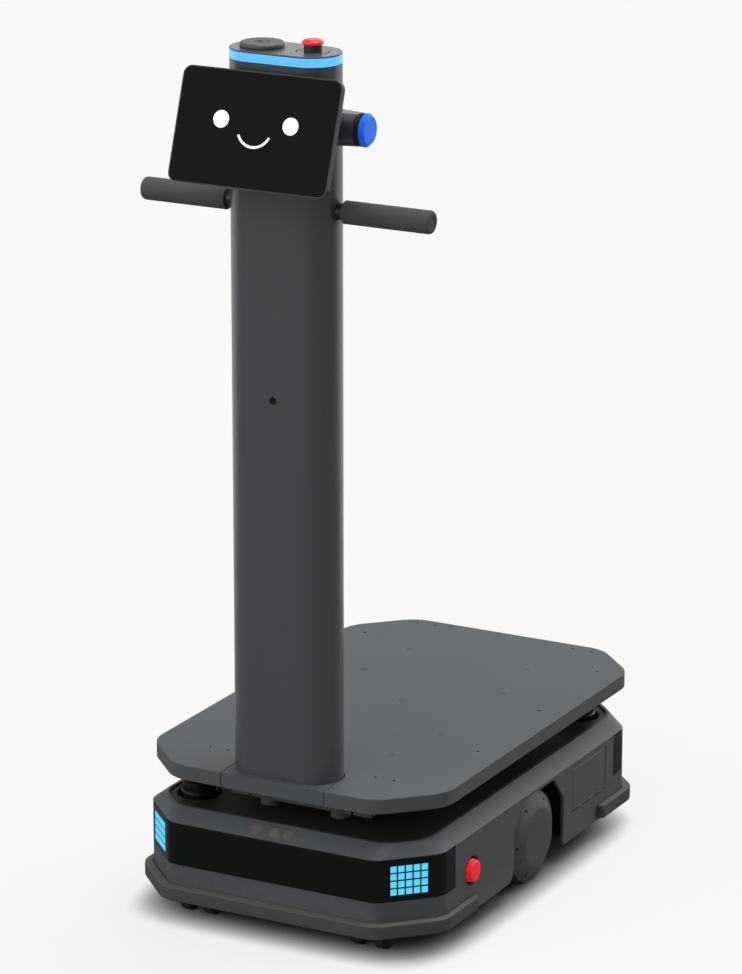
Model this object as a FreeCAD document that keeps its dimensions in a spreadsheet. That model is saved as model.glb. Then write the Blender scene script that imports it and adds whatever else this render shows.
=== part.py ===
import FreeCAD, Part
import math
import os
import Sketcher

from FreeCAD import Placement, Rotation, Vector

# A platform robot: a low wheeled base, a load deck and a mast with a screen.
# The front faces -Y, the width runs along X and the wheels stand on Z = 0.
# All lengths are in millimetres, all angles in degrees.

doc = FreeCAD.newDocument("platform_robot")

# ---------------------------------------------------------------- dimensions

DIMENSIONS = [
    ("base_setback", 21.67, "base centre behind the origin"),
    ("body_width", 498, "width over the body shell"),
    ("body_length", 774, "length over the body shell"),
    ("body_corner_cut", 74, "leg of the 45 degree corner cuts"),
    ("body_corner_radius", 34, "rounding where the corner cuts start"),
    ("shell_wall", 5, "wall of the body shell"),
    ("shell_bottom", 32, "height of the shell's lower edge"),
    ("shell_crease", 156, "height where the shell starts to lean in"),
    ("bevel_rise", 18.5, "height of the leaning band"),
    ("bevel_run", 24, "how far the leaning band leans in"),
    ("bevel_corner_cut", 46, "leg of the corner cuts at the band's upper edge"),
    ("bevel_corner_radius", 54, "rounding of the corners at the band's upper edge"),
    ("seat_gap", 0.3, "gap between a fitted panel and its seat"),
    ("panel_thickness", 3, "thickness of the light panels"),
    ("panel_bottom", 89, "height of a light panel's lower edge"),
    ("panel_slot", 2.5, "dark slot above a light panel"),
    ("panel_reach", 273, "light panel's ends, from the base centre"),
    ("led_cell", 9.5, "side of one light cell"),
    ("led_pitch_x", 12, "light cell spacing along the row"),
    ("led_pitch_z", 11.9, "light cell spacing up the column"),
    ("led_proud", 0.4, "thickness of a light cell"),
    ("led_centre_height", 121.7, "height of the light matrix centre"),
    ("bumper_proud_side", 11, "bumper beyond the body's sides"),
    ("bumper_proud_end", 17, "bumper beyond the body's ends"),
    ("bumper_corner_cut", 81, "corner cut of the bumper"),
    ("bumper_bottom", 36.5, "height of the bumper's lower edge"),
    ("bumper_height", 21.5, "height of the bumper strip"),
    ("bumper_reach", 215.5, "bumper's ends, from the base centre"),
    ("bumper_end_radius", 6, "rounding of the bumper's ends"),
    ("arch_width", 172, "width of the wheel arch"),
    ("arch_offset", 8, "arch centre behind the wheel centre"),
    ("arch_top", 151, "height of the arch"),
    ("arch_shoulder", 111, "height where the arch's top corners start"),
    ("arch_slope_run", 34, "length of the arch's sloping corners"),
    ("arch_foot_radius", 20, "rounding of the arch's lower front corner"),
    ("door_length", 118, "length of the battery door"),
    ("door_height", 70, "height of the battery door"),
    ("door_centre", 185, "door centre behind the base centre"),
    ("door_bottom", 76, "height of the door's lower edge"),
    ("door_gap", 0.8, "gap round the battery door"),
    ("door_thickness", 4, "thickness of the battery door"),
    ("door_pin_radius", 1.2, "radius of the door's hinge pin"),
    ("door_knuckle_radius", 2.6, "radius of the door's hinge knuckles"),
    ("window_x", -4.8, "camera window from the centre line"),
    ("window_width", 86, "width of the camera window"),
    ("window_height", 21, "height of the camera window"),
    ("window_thickness", 2, "thickness of the camera window"),
    ("lid_thickness", 4, "thickness of the top cover"),
    ("lid_drop", 2.5, "top cover below the shell's upper edge"),
    ("lid_skirt", 7, "height of the skirt under the top cover"),
    ("lidar_x", 176, "laser scanner from the centre line"),
    ("lidar_y", 293, "laser scanner from the base centre"),
    ("lidar_radius", 28, "radius of a laser scanner"),
    ("lidar_height", 44, "height of a laser scanner"),
    ("well_radius", 34, "radius of the scanner's well"),
    ("well_depth", 9, "depth of the scanner's well"),
    ("well_wall", 2, "wall of the scanner's well"),
    ("tray_height", 40, "height of the chassis floor's underside"),
    ("tray_thickness", 4, "thickness of the chassis floor"),
    ("hat_radius", 63, "outer radius of a castor housing"),
    ("hat_height", 90, "height of a castor housing's top"),
    ("castor_x", 146, "castor from the centre line"),
    ("castor_y", 315, "castor from the base centre"),
    ("castor_trail", 21, "castor axle behind its swivel"),
    ("castor_wheel_radius", 27, "radius of a castor wheel"),
    ("castor_wheel_width", 18, "width of a castor wheel"),
    ("castor_wheel_spacing", 40, "spacing of the twin castor wheels"),
    ("castor_plate_radius", 30, "radius of a castor's fixing plate"),
    ("castor_plate_thickness", 4, "thickness of a castor's fixing plate"),
    ("castor_stem_radius", 6, "radius of the swivel stem"),
    ("castor_axle_radius", 4, "radius of the castor axle"),
    ("running_clearance", 0.08, "radial clearance of a running fit"),
    ("wheel_radius", 76, "radius of a drive wheel"),
    ("tyre_inner_radius", 60, "radius under the tyre"),
    ("tyre_inside_face", 196, "tyre's inner side from the centre line"),
    ("tyre_width", 40, "width of the tyre"),
    ("hub_inside_face", 184, "motor's inner side from the centre line"),
    ("cover_rim_radius", 71, "rim radius of the wheel cover"),
    ("cover_face_radius", 44, "flat face radius of the wheel cover"),
    ("cover_face", 253.5, "wheel cover's face from the centre line"),
    ("cover_rim_thickness", 3.5, "thickness of the wheel cover's rim"),
    ("cover_wall", 3, "wall of the wheel cover"),
    ("cover_screw_circle", 60, "radius of the cover's screw circle"),
    ("cover_screw_radius", 2.5, "radius of a cover screw hole"),
    ("pivot_y", 110, "suspension pivot behind the wheel centre"),
    ("pivot_height", 84, "height of the suspension pivot"),
    ("pivot_radius", 8, "radius of the suspension pivot pin"),
    ("arm_inside_face", 162, "suspension arm from the centre line"),
    ("arm_thickness", 16, "thickness of the suspension arm"),
    ("axle_radius", 12, "radius of the wheel axle"),
    ("spring_y", 105, "spring in front of the wheel centre"),
    ("spring_seat", 70, "height of the spring's lower seat"),
    ("spring_top", 134, "height of the spring's upper seat"),
    ("spring_radius", 12.8, "outer radius of the spring's folds"),
    ("spring_fold", 3.6, "depth of the spring's folds"),
    ("spring_wall", 3.4, "wall of the spring"),
    ("spring_lobes", 5, "number of the spring's folds"),
    ("deck_width", 500, "width of the deck"),
    ("deck_length", 784, "length of the deck"),
    ("deck_shift", 9, "deck centre behind the base centre"),
    ("deck_top", 248, "height of the deck"),
    ("deck_thickness", 23, "thickness of the deck"),
    ("deck_corner_cut", 81, "leg of the deck's corner cuts"),
    ("deck_corner_radius", 60, "rounding of the deck's corners"),
    ("seam", 1.5, "seam between the deck and the mast's foot"),
    ("insert_hole_radius", 2.5, "radius of the deck's threaded holes"),
    ("bolt_radius", 5, "radius of a deck bolt's head"),
    ("bolt_head", 4, "height of a deck bolt's head"),
    ("bolt_shank_radius", 2.9, "radius of a deck bolt's shank"),
    ("frame_bottom", 182, "height of the deck frame's underside"),
    ("beam_width", 40, "width of a deck frame beam"),
    ("beam_wall", 4, "wall of a deck frame beam"),
    ("beam_x", 99, "side beams from the centre line"),
    ("frame_half_length", 295, "deck frame's ends from its centre"),
    ("frame_half_width", 119, "half the width of the frame's end beams"),
    ("post_x", 60, "deck post from the centre line"),
    ("post_y", 280, "deck post from the base centre"),
    ("post_radius", 15, "radius of a deck post"),
    ("mast_setback", 54.6, "mast centre behind the deck's front edge"),
    ("mast_half_width", 86, "half the width of the mast"),
    ("mast_end_radius", 44, "radius of the mast's rounded ends"),
    ("mast_wall", 3, "wall of the mast extrusion"),
    ("mast_top", 1319.8, "height of the mast extrusion's end"),
    ("band_height", 12.7, "height of the light band"),
    ("cap_thickness", 2.5, "thickness of the mast cap"),
    ("camera_height", 828, "height of the mast camera"),
    ("camera_radius", 6, "radius of the mast camera's bezel"),
    ("puck_x", 38.3, "sensor cover from the centre line"),
    ("puck_radius", 32.6, "radius of the sensor cover"),
    ("puck_height", 7, "height of the sensor cover"),
    ("top_stop_x", 44, "top stop button from the centre line"),
    ("stop_stem_radius", 5, "radius of a stop button's stem"),
    ("stop_travel", 4, "travel of a stop button"),
    ("top_collar_radius", 13, "radius of the top stop button's collar"),
    ("top_collar_height", 11, "height of the top stop button's collar"),
    ("top_head_radius", 15.8, "radius of the top stop button"),
    ("top_head_height", 7, "height of the top stop button"),
    ("side_collar_radius", 12, "radius of a side stop button's collar"),
    ("side_collar_height", 7, "height of a side stop button's collar"),
    ("side_head_radius", 17.8, "radius of a side stop button"),
    ("side_head_height", 14, "height of a side stop button"),
    ("side_stop_y", 218.6, "side stop buttons in front of the base centre"),
    ("side_stop_height", 97.5, "height of the side stop buttons"),
    ("side_stop_proud", 7, "side stop buttons beyond the body"),
    ("recess_radius", 24, "radius of a side stop button's recess"),
    ("recess_wall", 2, "wall of a side stop button's cup"),
    ("arm_height", 1230, "height of the call button's arm"),
    ("arm_root_height", 48, "height of the arm where it leaves the mast"),
    ("arm_root_depth", 50, "depth of the arm where it leaves the mast"),
    ("arm_root_corner", 10, "rounding of the arm where it leaves the mast"),
    ("arm_tip_corner", 19, "rounding of the arm's end"),
    ("arm_end", 120, "end of the arm from the centre line"),
    ("bezel_radius", 24, "radius of the call button's bezel"),
    ("bezel_thickness", 4.5, "thickness of the call button's bezel"),
    ("call_flange_radius", 24.5, "radius of the call button's flange"),
    ("call_face_radius", 21.5, "radius of the call button's face"),
    ("call_face", 136, "call button's face from the centre line"),
    ("call_travel", 3.5, "travel of the call button"),
    ("handlebar_height", 1108, "height of the handlebar"),
    ("handlebar_radius", 12, "radius of the handlebar's tube"),
    ("grip_radius", 17, "radius of a grip"),
    ("grip_start", 95, "grip's inner end from the centre line"),
    ("grip_end", 235.5, "grip's outer end from the centre line"),
    ("tablet_width", 257, "width of the screen's housing"),
    ("tablet_height", 168, "height of the screen's housing"),
    ("tablet_thickness", 10, "thickness of the screen's housing"),
    ("tablet_corner", 14, "corner radius of the screen's housing"),
    ("tablet_tilt", 19, "lean of the screen from upright"),
    ("tablet_centre_height", 1233, "height of the screen's centre"),
    ("tablet_standoff", 47.6, "screen's centre in front of the mast's face"),
    ("glass_border", 2.3, "border round the screen's glass"),
    ("glass_thickness", 1.4, "thickness of the screen's glass"),
    ("hump_width", 130, "width of the boss behind the screen"),
    ("hump_height", 84, "height of the boss behind the screen"),
    ("hump_depth", 8, "depth of the boss behind the screen"),
]

sheet = doc.addObject("Spreadsheet::Sheet", "sizes")
for row, (alias, value, meaning) in enumerate(DIMENSIONS, start=1):
    sheet.set(f"A{row}", meaning)
    sheet.set(f"B{row}", str(value))
    sheet.setAlias(f"B{row}", alias)
doc.recompute()


class Size:
    """A length or angle: its number, and the sheet expression that gives it."""

    def __init__(self, number, text):
        self.number = float(number)
        self.text = text

    def __add__(self, other):
        other = as_size(other)
        return Size(self.number + other.number, f"({self.text} + {other.text})")

    def __radd__(self, other):
        return as_size(other) + self

    def __sub__(self, other):
        other = as_size(other)
        return Size(self.number - other.number, f"({self.text} - {other.text})")

    def __rsub__(self, other):
        return as_size(other) - self

    def __mul__(self, other):
        other = as_size(other)
        return Size(self.number * other.number, f"({self.text} * {other.text})")

    def __rmul__(self, other):
        return as_size(other) * self

    def __truediv__(self, other):
        other = as_size(other)
        return Size(self.number / other.number, f"({self.text} / {other.text})")

    def __neg__(self):
        return 0 - self


def as_size(value):
    if isinstance(value, Size):
        return value
    return Size(value, repr(float(value)))


class Dimensions:
    """Reads a sheet cell by its alias, as a Size."""

    def __getattr__(self, alias):
        return Size(sheet.get(alias), f"sizes.{alias}")


k = Dimensions()


def sine(angle):
    return Size(math.sin(math.radians(angle.number)), f"sin({angle.text})")


def cosine(angle):
    return Size(math.cos(math.radians(angle.number)), f"cos({angle.text})")


# ------------------------------------------------------------ building blocks

PARTS = {}
ORIGIN = (0, 0, 0)
X_AXIS = Vector(1, 0, 0)
Y_AXIS = Vector(0, 1, 0)
Z_AXIS = Vector(0, 0, 1)


def bind(thing, name, size):
    thing.setExpression(name, as_size(size).text)


def place(thing, at, axis=None, angle=0):
    """Put an object at a point given by sizes, turned about one axis."""
    if axis is not None:
        thing.Placement = Placement(Vector(), Rotation(axis, as_size(angle).number))
        if isinstance(angle, Size):
            bind(thing, "Placement.Rotation.Angle", angle)
    for letter, size in zip("xyz", at):
        bind(thing, f"Placement.Base.{letter}", size)


def keep(label, thing):
    """Name a finished sub-part."""
    thing.Label = label
    PARTS[label] = thing
    return thing


def new_body(name, at=ORIGIN, axis=None, angle=0):
    body = doc.addObject("PartDesign::Body", name)
    place(body, at, axis, angle)
    return body


def new_sketch(body, plane="XY", height=0, shift=0, tilt=None):
    """A sketch on one of the body's own planes, moved along and across it."""
    sketch = body.newObject("Sketcher::SketchObject", "outline")
    roles = {feature.Role: feature for feature in body.Origin.OriginFeatures}
    sketch.AttachmentSupport = [(roles[f"{plane}_Plane"], "")]
    sketch.MapMode = "FlatFace"
    if tilt is not None:
        sketch.AttachmentOffset = Placement(Vector(), Rotation(X_AXIS, tilt.number))
        bind(sketch, "AttachmentOffset.Rotation.Angle", tilt)
    bind(sketch, "AttachmentOffset.Base.y", shift)
    bind(sketch, "AttachmentOffset.Base.z", height)
    return sketch


def constrain(sketch, *terms):
    """Add a constraint; when its last term is a Size, bind it to the sheet."""
    size = terms[-1]
    if not isinstance(size, Size):
        sketch.addConstraint(Sketcher.Constraint(*terms))
        return
    number = sketch.addConstraint(Sketcher.Constraint(*terms[:-1], size.number))
    sketch.renameConstraint(number, f"size_{number}")
    bind(sketch, f"Constraints.size_{number}", size)


def fix_point(sketch, edge, end, x, y):
    """Hold one end, or the centre, of a sketch edge at (x, y)."""
    constrain(sketch, "DistanceX", -1, 1, edge, end, as_size(x))
    constrain(sketch, "DistanceY", -1, 1, edge, end, as_size(y))


def add_polygon(sketch, points):
    points = [(as_size(x), as_size(y)) for x, y in points]
    first = sketch.GeometryCount
    count = len(points)
    for index, (x, y) in enumerate(points):
        next_x, next_y = points[(index + 1) % count]
        start = Vector(x.number, y.number, 0)
        end = Vector(next_x.number, next_y.number, 0)
        sketch.addGeometry(Part.LineSegment(start, end))
    for index, (x, y) in enumerate(points):
        before = first + (index - 1) % count
        constrain(sketch, "Coincident", before, 2, first + index, 1)
        fix_point(sketch, first + index, 1, x, y)


def add_rectangle(sketch, x, y, width, height):
    """A rectangle centred on (x, y)."""
    half_w = as_size(width) / 2
    half_h = as_size(height) / 2
    add_polygon(sketch, [(x - half_w, y - half_h), (x + half_w, y - half_h),
                         (x + half_w, y + half_h), (x - half_w, y + half_h)])


def add_circle(sketch, x, y, radius):
    x = as_size(x)
    y = as_size(y)
    radius = as_size(radius)
    centre = Vector(x.number, y.number, 0)
    edge = sketch.addGeometry(Part.Circle(centre, Z_AXIS, radius.number))
    constrain(sketch, "Radius", edge, radius)
    fix_point(sketch, edge, 3, x, y)


def add_rounded_loop(sketch, corners):
    """A closed outline of straight runs joined by tangent arcs.

    Each corner is (centre x, centre y, radius, start angle, end angle), and
    they follow each other anticlockwise.
    """
    first = sketch.GeometryCount
    count = len(corners)
    ends = []
    for x, y, radius, start, end in corners:
        x = as_size(x)
        y = as_size(y)
        radius = as_size(radius)
        circle = Part.Circle(Vector(x.number, y.number, 0), Z_AXIS, radius.number)
        arc = Part.ArcOfCircle(circle, math.radians(start), math.radians(end))
        edge = sketch.addGeometry(arc)
        constrain(sketch, "Radius", edge, radius)
        fix_point(sketch, edge, 3, x, y)
        ends.append((arc.StartPoint, arc.EndPoint))
    for index in range(count):
        following = (index + 1) % count
        line = Part.LineSegment(ends[index][1], ends[following][0])
        edge = sketch.addGeometry(line)
        constrain(sketch, "Tangent", first + index, 2, edge, 1)
        constrain(sketch, "Tangent", edge, 2, first + following, 1)


def add_cut_corner_outline(sketch, outline):
    """The plan of the body, deck and bumpers: a rectangle with cut corners."""
    half_x, half_y, cut, radius = outline
    tangent = radius * math.tan(math.radians(22.5))
    side_x = half_x - radius
    side_y = half_y - cut - tangent
    end_x = half_x - cut - tangent
    end_y = half_y - radius
    corners = [
        (side_x, side_y, radius, 0, 45), (end_x, end_y, radius, 45, 90),
        (-end_x, end_y, radius, 90, 135), (-side_x, side_y, radius, 135, 180),
        (-side_x, -side_y, radius, 180, 225), (-end_x, -end_y, radius, 225, 270),
        (end_x, -end_y, radius, 270, 315), (side_x, -side_y, radius, 315, 360)]
    add_rounded_loop(sketch, corners)


def add_rounded_rectangle(sketch, width, height, radius):
    x = width / 2 - radius
    y = height / 2 - radius
    add_rounded_loop(sketch, [(x, -y, radius, 270, 360), (x, y, radius, 0, 90),
                              (-x, y, radius, 90, 180), (-x, -y, radius, 180, 270)])


def add_slot(sketch, x, y, half_width, radius):
    """A flat-sided slot or mast section, longer along the sketch's x."""
    reach = half_width - radius
    add_rounded_loop(sketch, [(x + reach, y, radius, -90, 90),
                              (x - reach, y, radius, 90, 270)])


def inset(outline, distance):
    """The same cut-corner outline, a distance further in."""
    half_x, half_y, cut, radius = outline
    leg = cut - distance * (2 - math.sqrt(2))
    return (half_x - distance, half_y - distance, leg, radius - distance)


def set_length(feature, length, along, midplane):
    if length is None:
        feature.Type = "ThroughAll"
    else:
        bind(feature, "Length", length)
    if midplane:
        feature.SideType = "Symmetric"
    feature.Reversed = not along


def pad(body, sketch, length, along=True, midplane=False):
    """Add material along the sketch's normal, or against it."""
    feature = body.newObject("PartDesign::Pad", "pad")
    feature.Profile = sketch
    set_length(feature, length, along, midplane)
    sketch.Visibility = False
    return feature


def cut(body, sketch, length, along=False, midplane=False):
    """Remove material; a cut that removes nothing is an error."""
    doc.recompute()
    before = body.Shape.Volume
    feature = body.newObject("PartDesign::Pocket", "pocket")
    feature.Profile = sketch
    set_length(feature, length, not along, midplane)
    doc.recompute()
    if body.Shape.Volume > before - 1e-3:
        raise RuntimeError(f"{body.Name}: a cut removes nothing")
    return feature


def revolve(body, sketch, axis="V_Axis"):
    feature = body.newObject("PartDesign::Revolution", "revolution")
    feature.Profile = sketch
    feature.ReferenceAxis = (sketch, [axis])
    feature.Angle = 360
    return feature


def dress(body, kind, size, choose):
    """Fillet or chamfer the edges of the body's last feature that fit."""
    doc.recompute()
    last = body.Tip
    names = [f"Edge{number}" for number, edge in enumerate(last.Shape.Edges, start=1)
             if choose(edge)]
    if not names:
        raise RuntimeError(f"{body.Name}: no edge to dress")
    feature = body.newObject(f"PartDesign::{kind}", kind.lower())
    feature.Base = (last, names)
    bind(feature, "Radius" if kind == "Fillet" else "Size", size)
    doc.recompute()
    return feature


def polar_pattern(body, feature, count):
    pattern = body.newObject("PartDesign::PolarPattern", "pattern")
    pattern.Originals = [feature]
    roles = {item.Role: item for item in body.Origin.OriginFeatures}
    pattern.Axis = (roles["Z_Axis"], [""])
    pattern.Angle = 360
    pattern.Occurrences = count
    body.Tip = pattern
    return pattern


def upright(edge):
    """True for a straight edge along the body's own Z."""
    if len(edge.Vertexes) != 2:
        return False
    run = edge.Vertexes[1].Point - edge.Vertexes[0].Point
    return abs(run.x) + abs(run.y) < 1e-4 and abs(run.z) > 1e-3


def level_at(height):
    """Choose the edges that lie flat at one height of the body's own frame."""
    def choose(edge):
        box = edge.BoundBox
        return abs(box.ZMin - height.number) < 1e-4 and abs(box.ZMax - height.number) < 1e-4
    return choose


def turned(name, profile, at=ORIGIN, axis=None, angle=0):
    """A turned piece: its half profile (radius, height), spun about its own Z."""
    body = new_body(name, at, axis, angle)
    sketch = new_sketch(body, "XZ")
    add_polygon(sketch, profile)
    revolve(body, sketch)
    return body


def boolean_cut(name, base, tool):
    result = doc.addObject("Part::Cut", name)
    result.Base = base
    result.Tool = tool
    return result


def group(name, things):
    """Several separate solids that share one name."""
    result = doc.addObject("Part::Compound", name)
    result.Links = things
    return result


def toward_side(side):
    """The turn that points a piece's own Z to the right (+1) or left (-1)."""
    return 90 * side


# ------------------------------------------------------------------ the base

half_body_x = k.body_width / 2
half_body_y = k.body_length / 2
body_outline = (half_body_x, half_body_y, k.body_corner_cut, k.body_corner_radius)
bevel_outline = (half_body_x - k.bevel_run, half_body_y - k.bevel_run,
                 k.bevel_corner_cut, k.bevel_corner_radius)
shell_top = k.shell_crease + k.bevel_rise
base_y = k.base_setback
bevel_angle = Size(math.degrees(math.atan2(k.bevel_rise.number, k.bevel_run.number)),
                   "atan(sizes.bevel_rise / sizes.bevel_run)")
window_y = k.bevel_run / 2 - half_body_y
window_height = k.shell_crease + k.bevel_rise / 2
panel_top = k.shell_crease - k.panel_slot
tray_top = k.tray_height + k.tray_thickness
SIDES = (("right", 1), ("left", -1))
ENDS = (("front", -1), ("rear", 1))


def band_outline(share):
    """The leaning band's outline, a share of the way up from its crease."""
    return tuple(low + (high - low) * share
                 for low, high in zip(body_outline, bevel_outline))


def ring_segment(name, outer, inner, bottom, height, reach, end):
    """One end's half of a ring that follows the body's outline."""
    body = new_body(name, (0, base_y, 0))
    sketch = new_sketch(body, "XY", bottom)
    add_cut_corner_outline(sketch, outer)
    add_cut_corner_outline(sketch, inner)
    pad(body, sketch, height)
    sketch = new_sketch(body, "XY", bottom - 1)
    far = 2 * k.body_length
    add_rectangle(sketch, 0, (reach - far / 2) * end, 2 * k.body_width, far)
    cut(body, sketch, height + 2, along=True)
    return body


def build_body_shell():
    """The moulded skirt: upright walls, a band that leans in and a seat on top."""
    body = new_body("shell_blank", (0, base_y, 0))
    wall = k.shell_wall
    height = k.shell_crease - k.shell_bottom
    sketch = new_sketch(body, "XY", k.shell_bottom)
    add_cut_corner_outline(sketch, body_outline)
    pad(body, sketch, height)
    lower = new_sketch(body, "XY", k.shell_crease)
    add_cut_corner_outline(lower, body_outline)
    upper = new_sketch(body, "XY", shell_top)
    add_cut_corner_outline(upper, bevel_outline)
    loft = body.newObject("PartDesign::AdditiveLoft", "band")
    loft.Profile = lower
    loft.Sections = [upper]
    loft.Ruled = True
    sketch = new_sketch(body, "XY", k.shell_bottom)
    add_cut_corner_outline(sketch, inset(body_outline, wall))
    cut(body, sketch, height, along=True)
    lower = new_sketch(body, "XY", k.shell_crease)
    add_cut_corner_outline(lower, inset(body_outline, wall))
    upper = new_sketch(body, "XY", shell_top)
    add_cut_corner_outline(upper, inset(bevel_outline, wall))
    loft = body.newObject("PartDesign::SubtractiveLoft", "hollow")
    loft.Profile = lower
    loft.Sections = [upper]
    loft.Ruled = True

    arch = new_sketch(body, "YZ")
    front = k.arch_offset - k.arch_width / 2
    back = k.arch_offset + k.arch_width / 2
    run = k.arch_slope_run
    add_polygon(arch, [
        (front, k.shell_bottom - 1), (back, k.shell_bottom - 1),
        (back, k.arch_shoulder), (back - run, k.arch_top),
        (front + run, k.arch_top), (front, k.arch_shoulder)])
    cut(body, arch, 2 * k.body_width, midplane=True)

    def front_foot(edge):
        box = edge.BoundBox
        return (box.DiagonalLength < wall.number + 1 and box.YLength + box.ZLength < 1e-3
                and abs(box.YMin - front.number) < 1e-3
                and abs(box.ZMin - k.shell_bottom.number) < 1e-3)

    dress(body, "Fillet", k.arch_foot_radius, front_foot)

    recess = new_sketch(body, "YZ")
    add_circle(recess, -k.side_stop_y, k.side_stop_height, k.recess_radius)
    cut(body, recess, 2 * k.body_width, midplane=True)

    doorway = new_sketch(body, "YZ", half_body_x + 1)
    add_rectangle(doorway, k.door_centre, k.door_bottom + k.door_height / 2,
                  k.door_length + 2 * k.door_gap, k.door_height + 2 * k.door_gap)
    cut(body, doorway, wall + 2)
    pin_x = half_body_x - k.door_thickness / 2
    pin_z = k.door_bottom + k.door_thickness / 2
    bores = new_sketch(body, "XZ", -k.door_centre)
    add_circle(bores, pin_x, pin_z, k.door_pin_radius + k.running_clearance)
    cut(body, bores, k.door_length + 8, midplane=True)

    window = new_sketch(body, "XY", window_height, window_y, bevel_angle)
    add_slot(window, k.window_x, 0, k.window_width / 2 + k.seat_gap,
             k.window_height / 2 + k.seat_gap)
    cut(body, window, 6 * wall, midplane=True)

    seats = []
    for name, end in ENDS:
        seats.append(ring_segment(
            f"{name}_panel_seat", inset(body_outline, -2),
            inset(body_outline, k.panel_thickness + k.seat_gap),
            k.panel_bottom - k.seat_gap,
            k.shell_crease - k.panel_bottom + k.seat_gap,
            k.panel_reach - k.seat_gap, end))
    keep("body_shell", boolean_cut("body_shell", body, group("panel_seats", seats)))


def build_light_panels():
    """Two gloss panels that wrap round the body's ends."""
    for name, end in ENDS:
        body = ring_segment(
            f"{name}_light_panel", body_outline, inset(body_outline, k.panel_thickness),
            k.panel_bottom, panel_top - k.panel_bottom, k.panel_reach, end)
        keep(f"{name}_light_panel", body)


def build_led_matrices():
    """Five by four light cells on each front corner of the panel."""
    matrices = []
    diagonal = half_body_x + half_body_y - k.body_corner_cut
    middle_x = (half_body_x + half_body_x - k.body_corner_cut) / 2
    middle_y = middle_x - diagonal
    for name, side in SIDES:
        body = new_body(f"led_matrix_{name}",
                        (middle_x * side, base_y + middle_y, k.led_centre_height),
                        Z_AXIS, 45 * side)
        sketch = new_sketch(body, "XZ")
        for column in range(-2, 3):
            for line in (-1.5, -0.5, 0.5, 1.5):
                add_rectangle(sketch, k.led_pitch_x * column, k.led_pitch_z * line,
                              k.led_cell, k.led_cell)
        pad(body, sketch, k.led_proud)
        matrices.append(body)
    keep("led_matrices", group("led_matrices", matrices))


def build_bumpers():
    """Rubber strips round the foot of each end."""
    outer = (half_body_x + k.bumper_proud_side, half_body_y + k.bumper_proud_end,
             k.bumper_corner_cut, k.body_corner_radius + k.bumper_proud_side)
    inner = inset(body_outline, -k.seat_gap)
    for name, end in ENDS:
        body = ring_segment(f"bumper_{name}", outer, inner, k.bumper_bottom,
                            k.bumper_height, k.bumper_reach, end)
        reach = k.bumper_reach.number
        outside = outer[0].number

        def outer_end(edge):
            point = edge.CenterOfMass
            return (upright(edge) and abs(abs(point.x) - outside) < 1e-3
                    and abs(abs(point.y) - reach) < 1e-3)

        dress(body, "Fillet", k.bumper_end_radius, outer_end)
        keep(f"bumper_{name}", body)


def build_camera():
    """The camera bar behind the pill-shaped window in the leaning band."""
    at = (k.window_x, base_y + window_y, window_height)
    body = new_body("depth_camera_window", at, X_AXIS, bevel_angle)
    sketch = new_sketch(body, "XY", -k.window_thickness)
    add_slot(sketch, 0, 0, k.window_width / 2, k.window_height / 2)
    pad(body, sketch, k.window_thickness)
    keep("depth_camera_window", body)

    body = new_body("depth_camera", at, X_AXIS, bevel_angle)
    face = -k.window_thickness - k.seat_gap - 1.5
    sketch = new_sketch(body, "XY", face)
    add_slot(sketch, 0, 0, k.window_width / 2, k.window_height / 2)
    pad(body, sketch, 8, along=False)
    sketch = new_sketch(body, "XY", face)
    for x in (-27, 4, 27):
        add_circle(sketch, x, 0, 7)
    pad(body, sketch, 1.5)
    keep("depth_camera", body)


def build_top_cover():
    """The lid that closes the base, with a dished well for each scanner."""
    body = new_body("top_cover", (0, base_y, 0))
    share = (k.bevel_rise - k.lid_drop) / k.bevel_rise
    rim = inset(band_outline(share), k.shell_wall + k.seat_gap)
    top = shell_top - k.lid_drop
    underside = top - k.lid_thickness
    sketch = new_sketch(body, "XY", underside)
    add_cut_corner_outline(sketch, rim)
    pad(body, sketch, k.lid_thickness)
    sketch = new_sketch(body, "XY", underside)
    add_cut_corner_outline(sketch, inset(rim, 4))
    add_cut_corner_outline(sketch, inset(rim, 7))
    pad(body, sketch, k.lid_skirt, along=False)
    sketch = new_sketch(body, "XY", top - k.well_depth - k.well_wall)
    add_circle(sketch, -k.lidar_x, -k.lidar_y, k.well_radius + k.well_wall)
    add_circle(sketch, k.lidar_x, k.lidar_y, k.well_radius + k.well_wall)
    pad(body, sketch, k.well_depth + k.well_wall - k.lid_thickness)
    sketch = new_sketch(body, "XY", top)
    add_circle(sketch, -k.lidar_x, -k.lidar_y, k.well_radius)
    add_circle(sketch, k.lidar_x, k.lidar_y, k.well_radius)
    cut(body, sketch, k.well_depth)
    sketch = new_sketch(body, "XY", top)
    for x in (-k.post_x, k.post_x):
        for y in (-k.post_y, k.post_y):
            add_circle(sketch, x, y, k.post_radius + k.seat_gap)
    cut(body, sketch, k.lid_thickness)
    keep("top_cover", body)


def build_lidars():
    """A laser scanner in the front left well and one in the rear right well."""
    seat = shell_top - k.lid_drop - k.well_depth
    radius = k.lidar_radius
    for name, end in ENDS:
        body = turned(f"lidar_{name}", [
            (0, 0), (radius, 0), (radius, 14), (radius - 2, 16),
            (radius - 2, k.lidar_height - 12), (radius, k.lidar_height - 10),
            (radius, k.lidar_height - 2), (radius - 2, k.lidar_height),
            (0, k.lidar_height)],
            (k.lidar_x * end, base_y + k.lidar_y * end, seat))
        keep(f"lidar_{name}", body)


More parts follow.
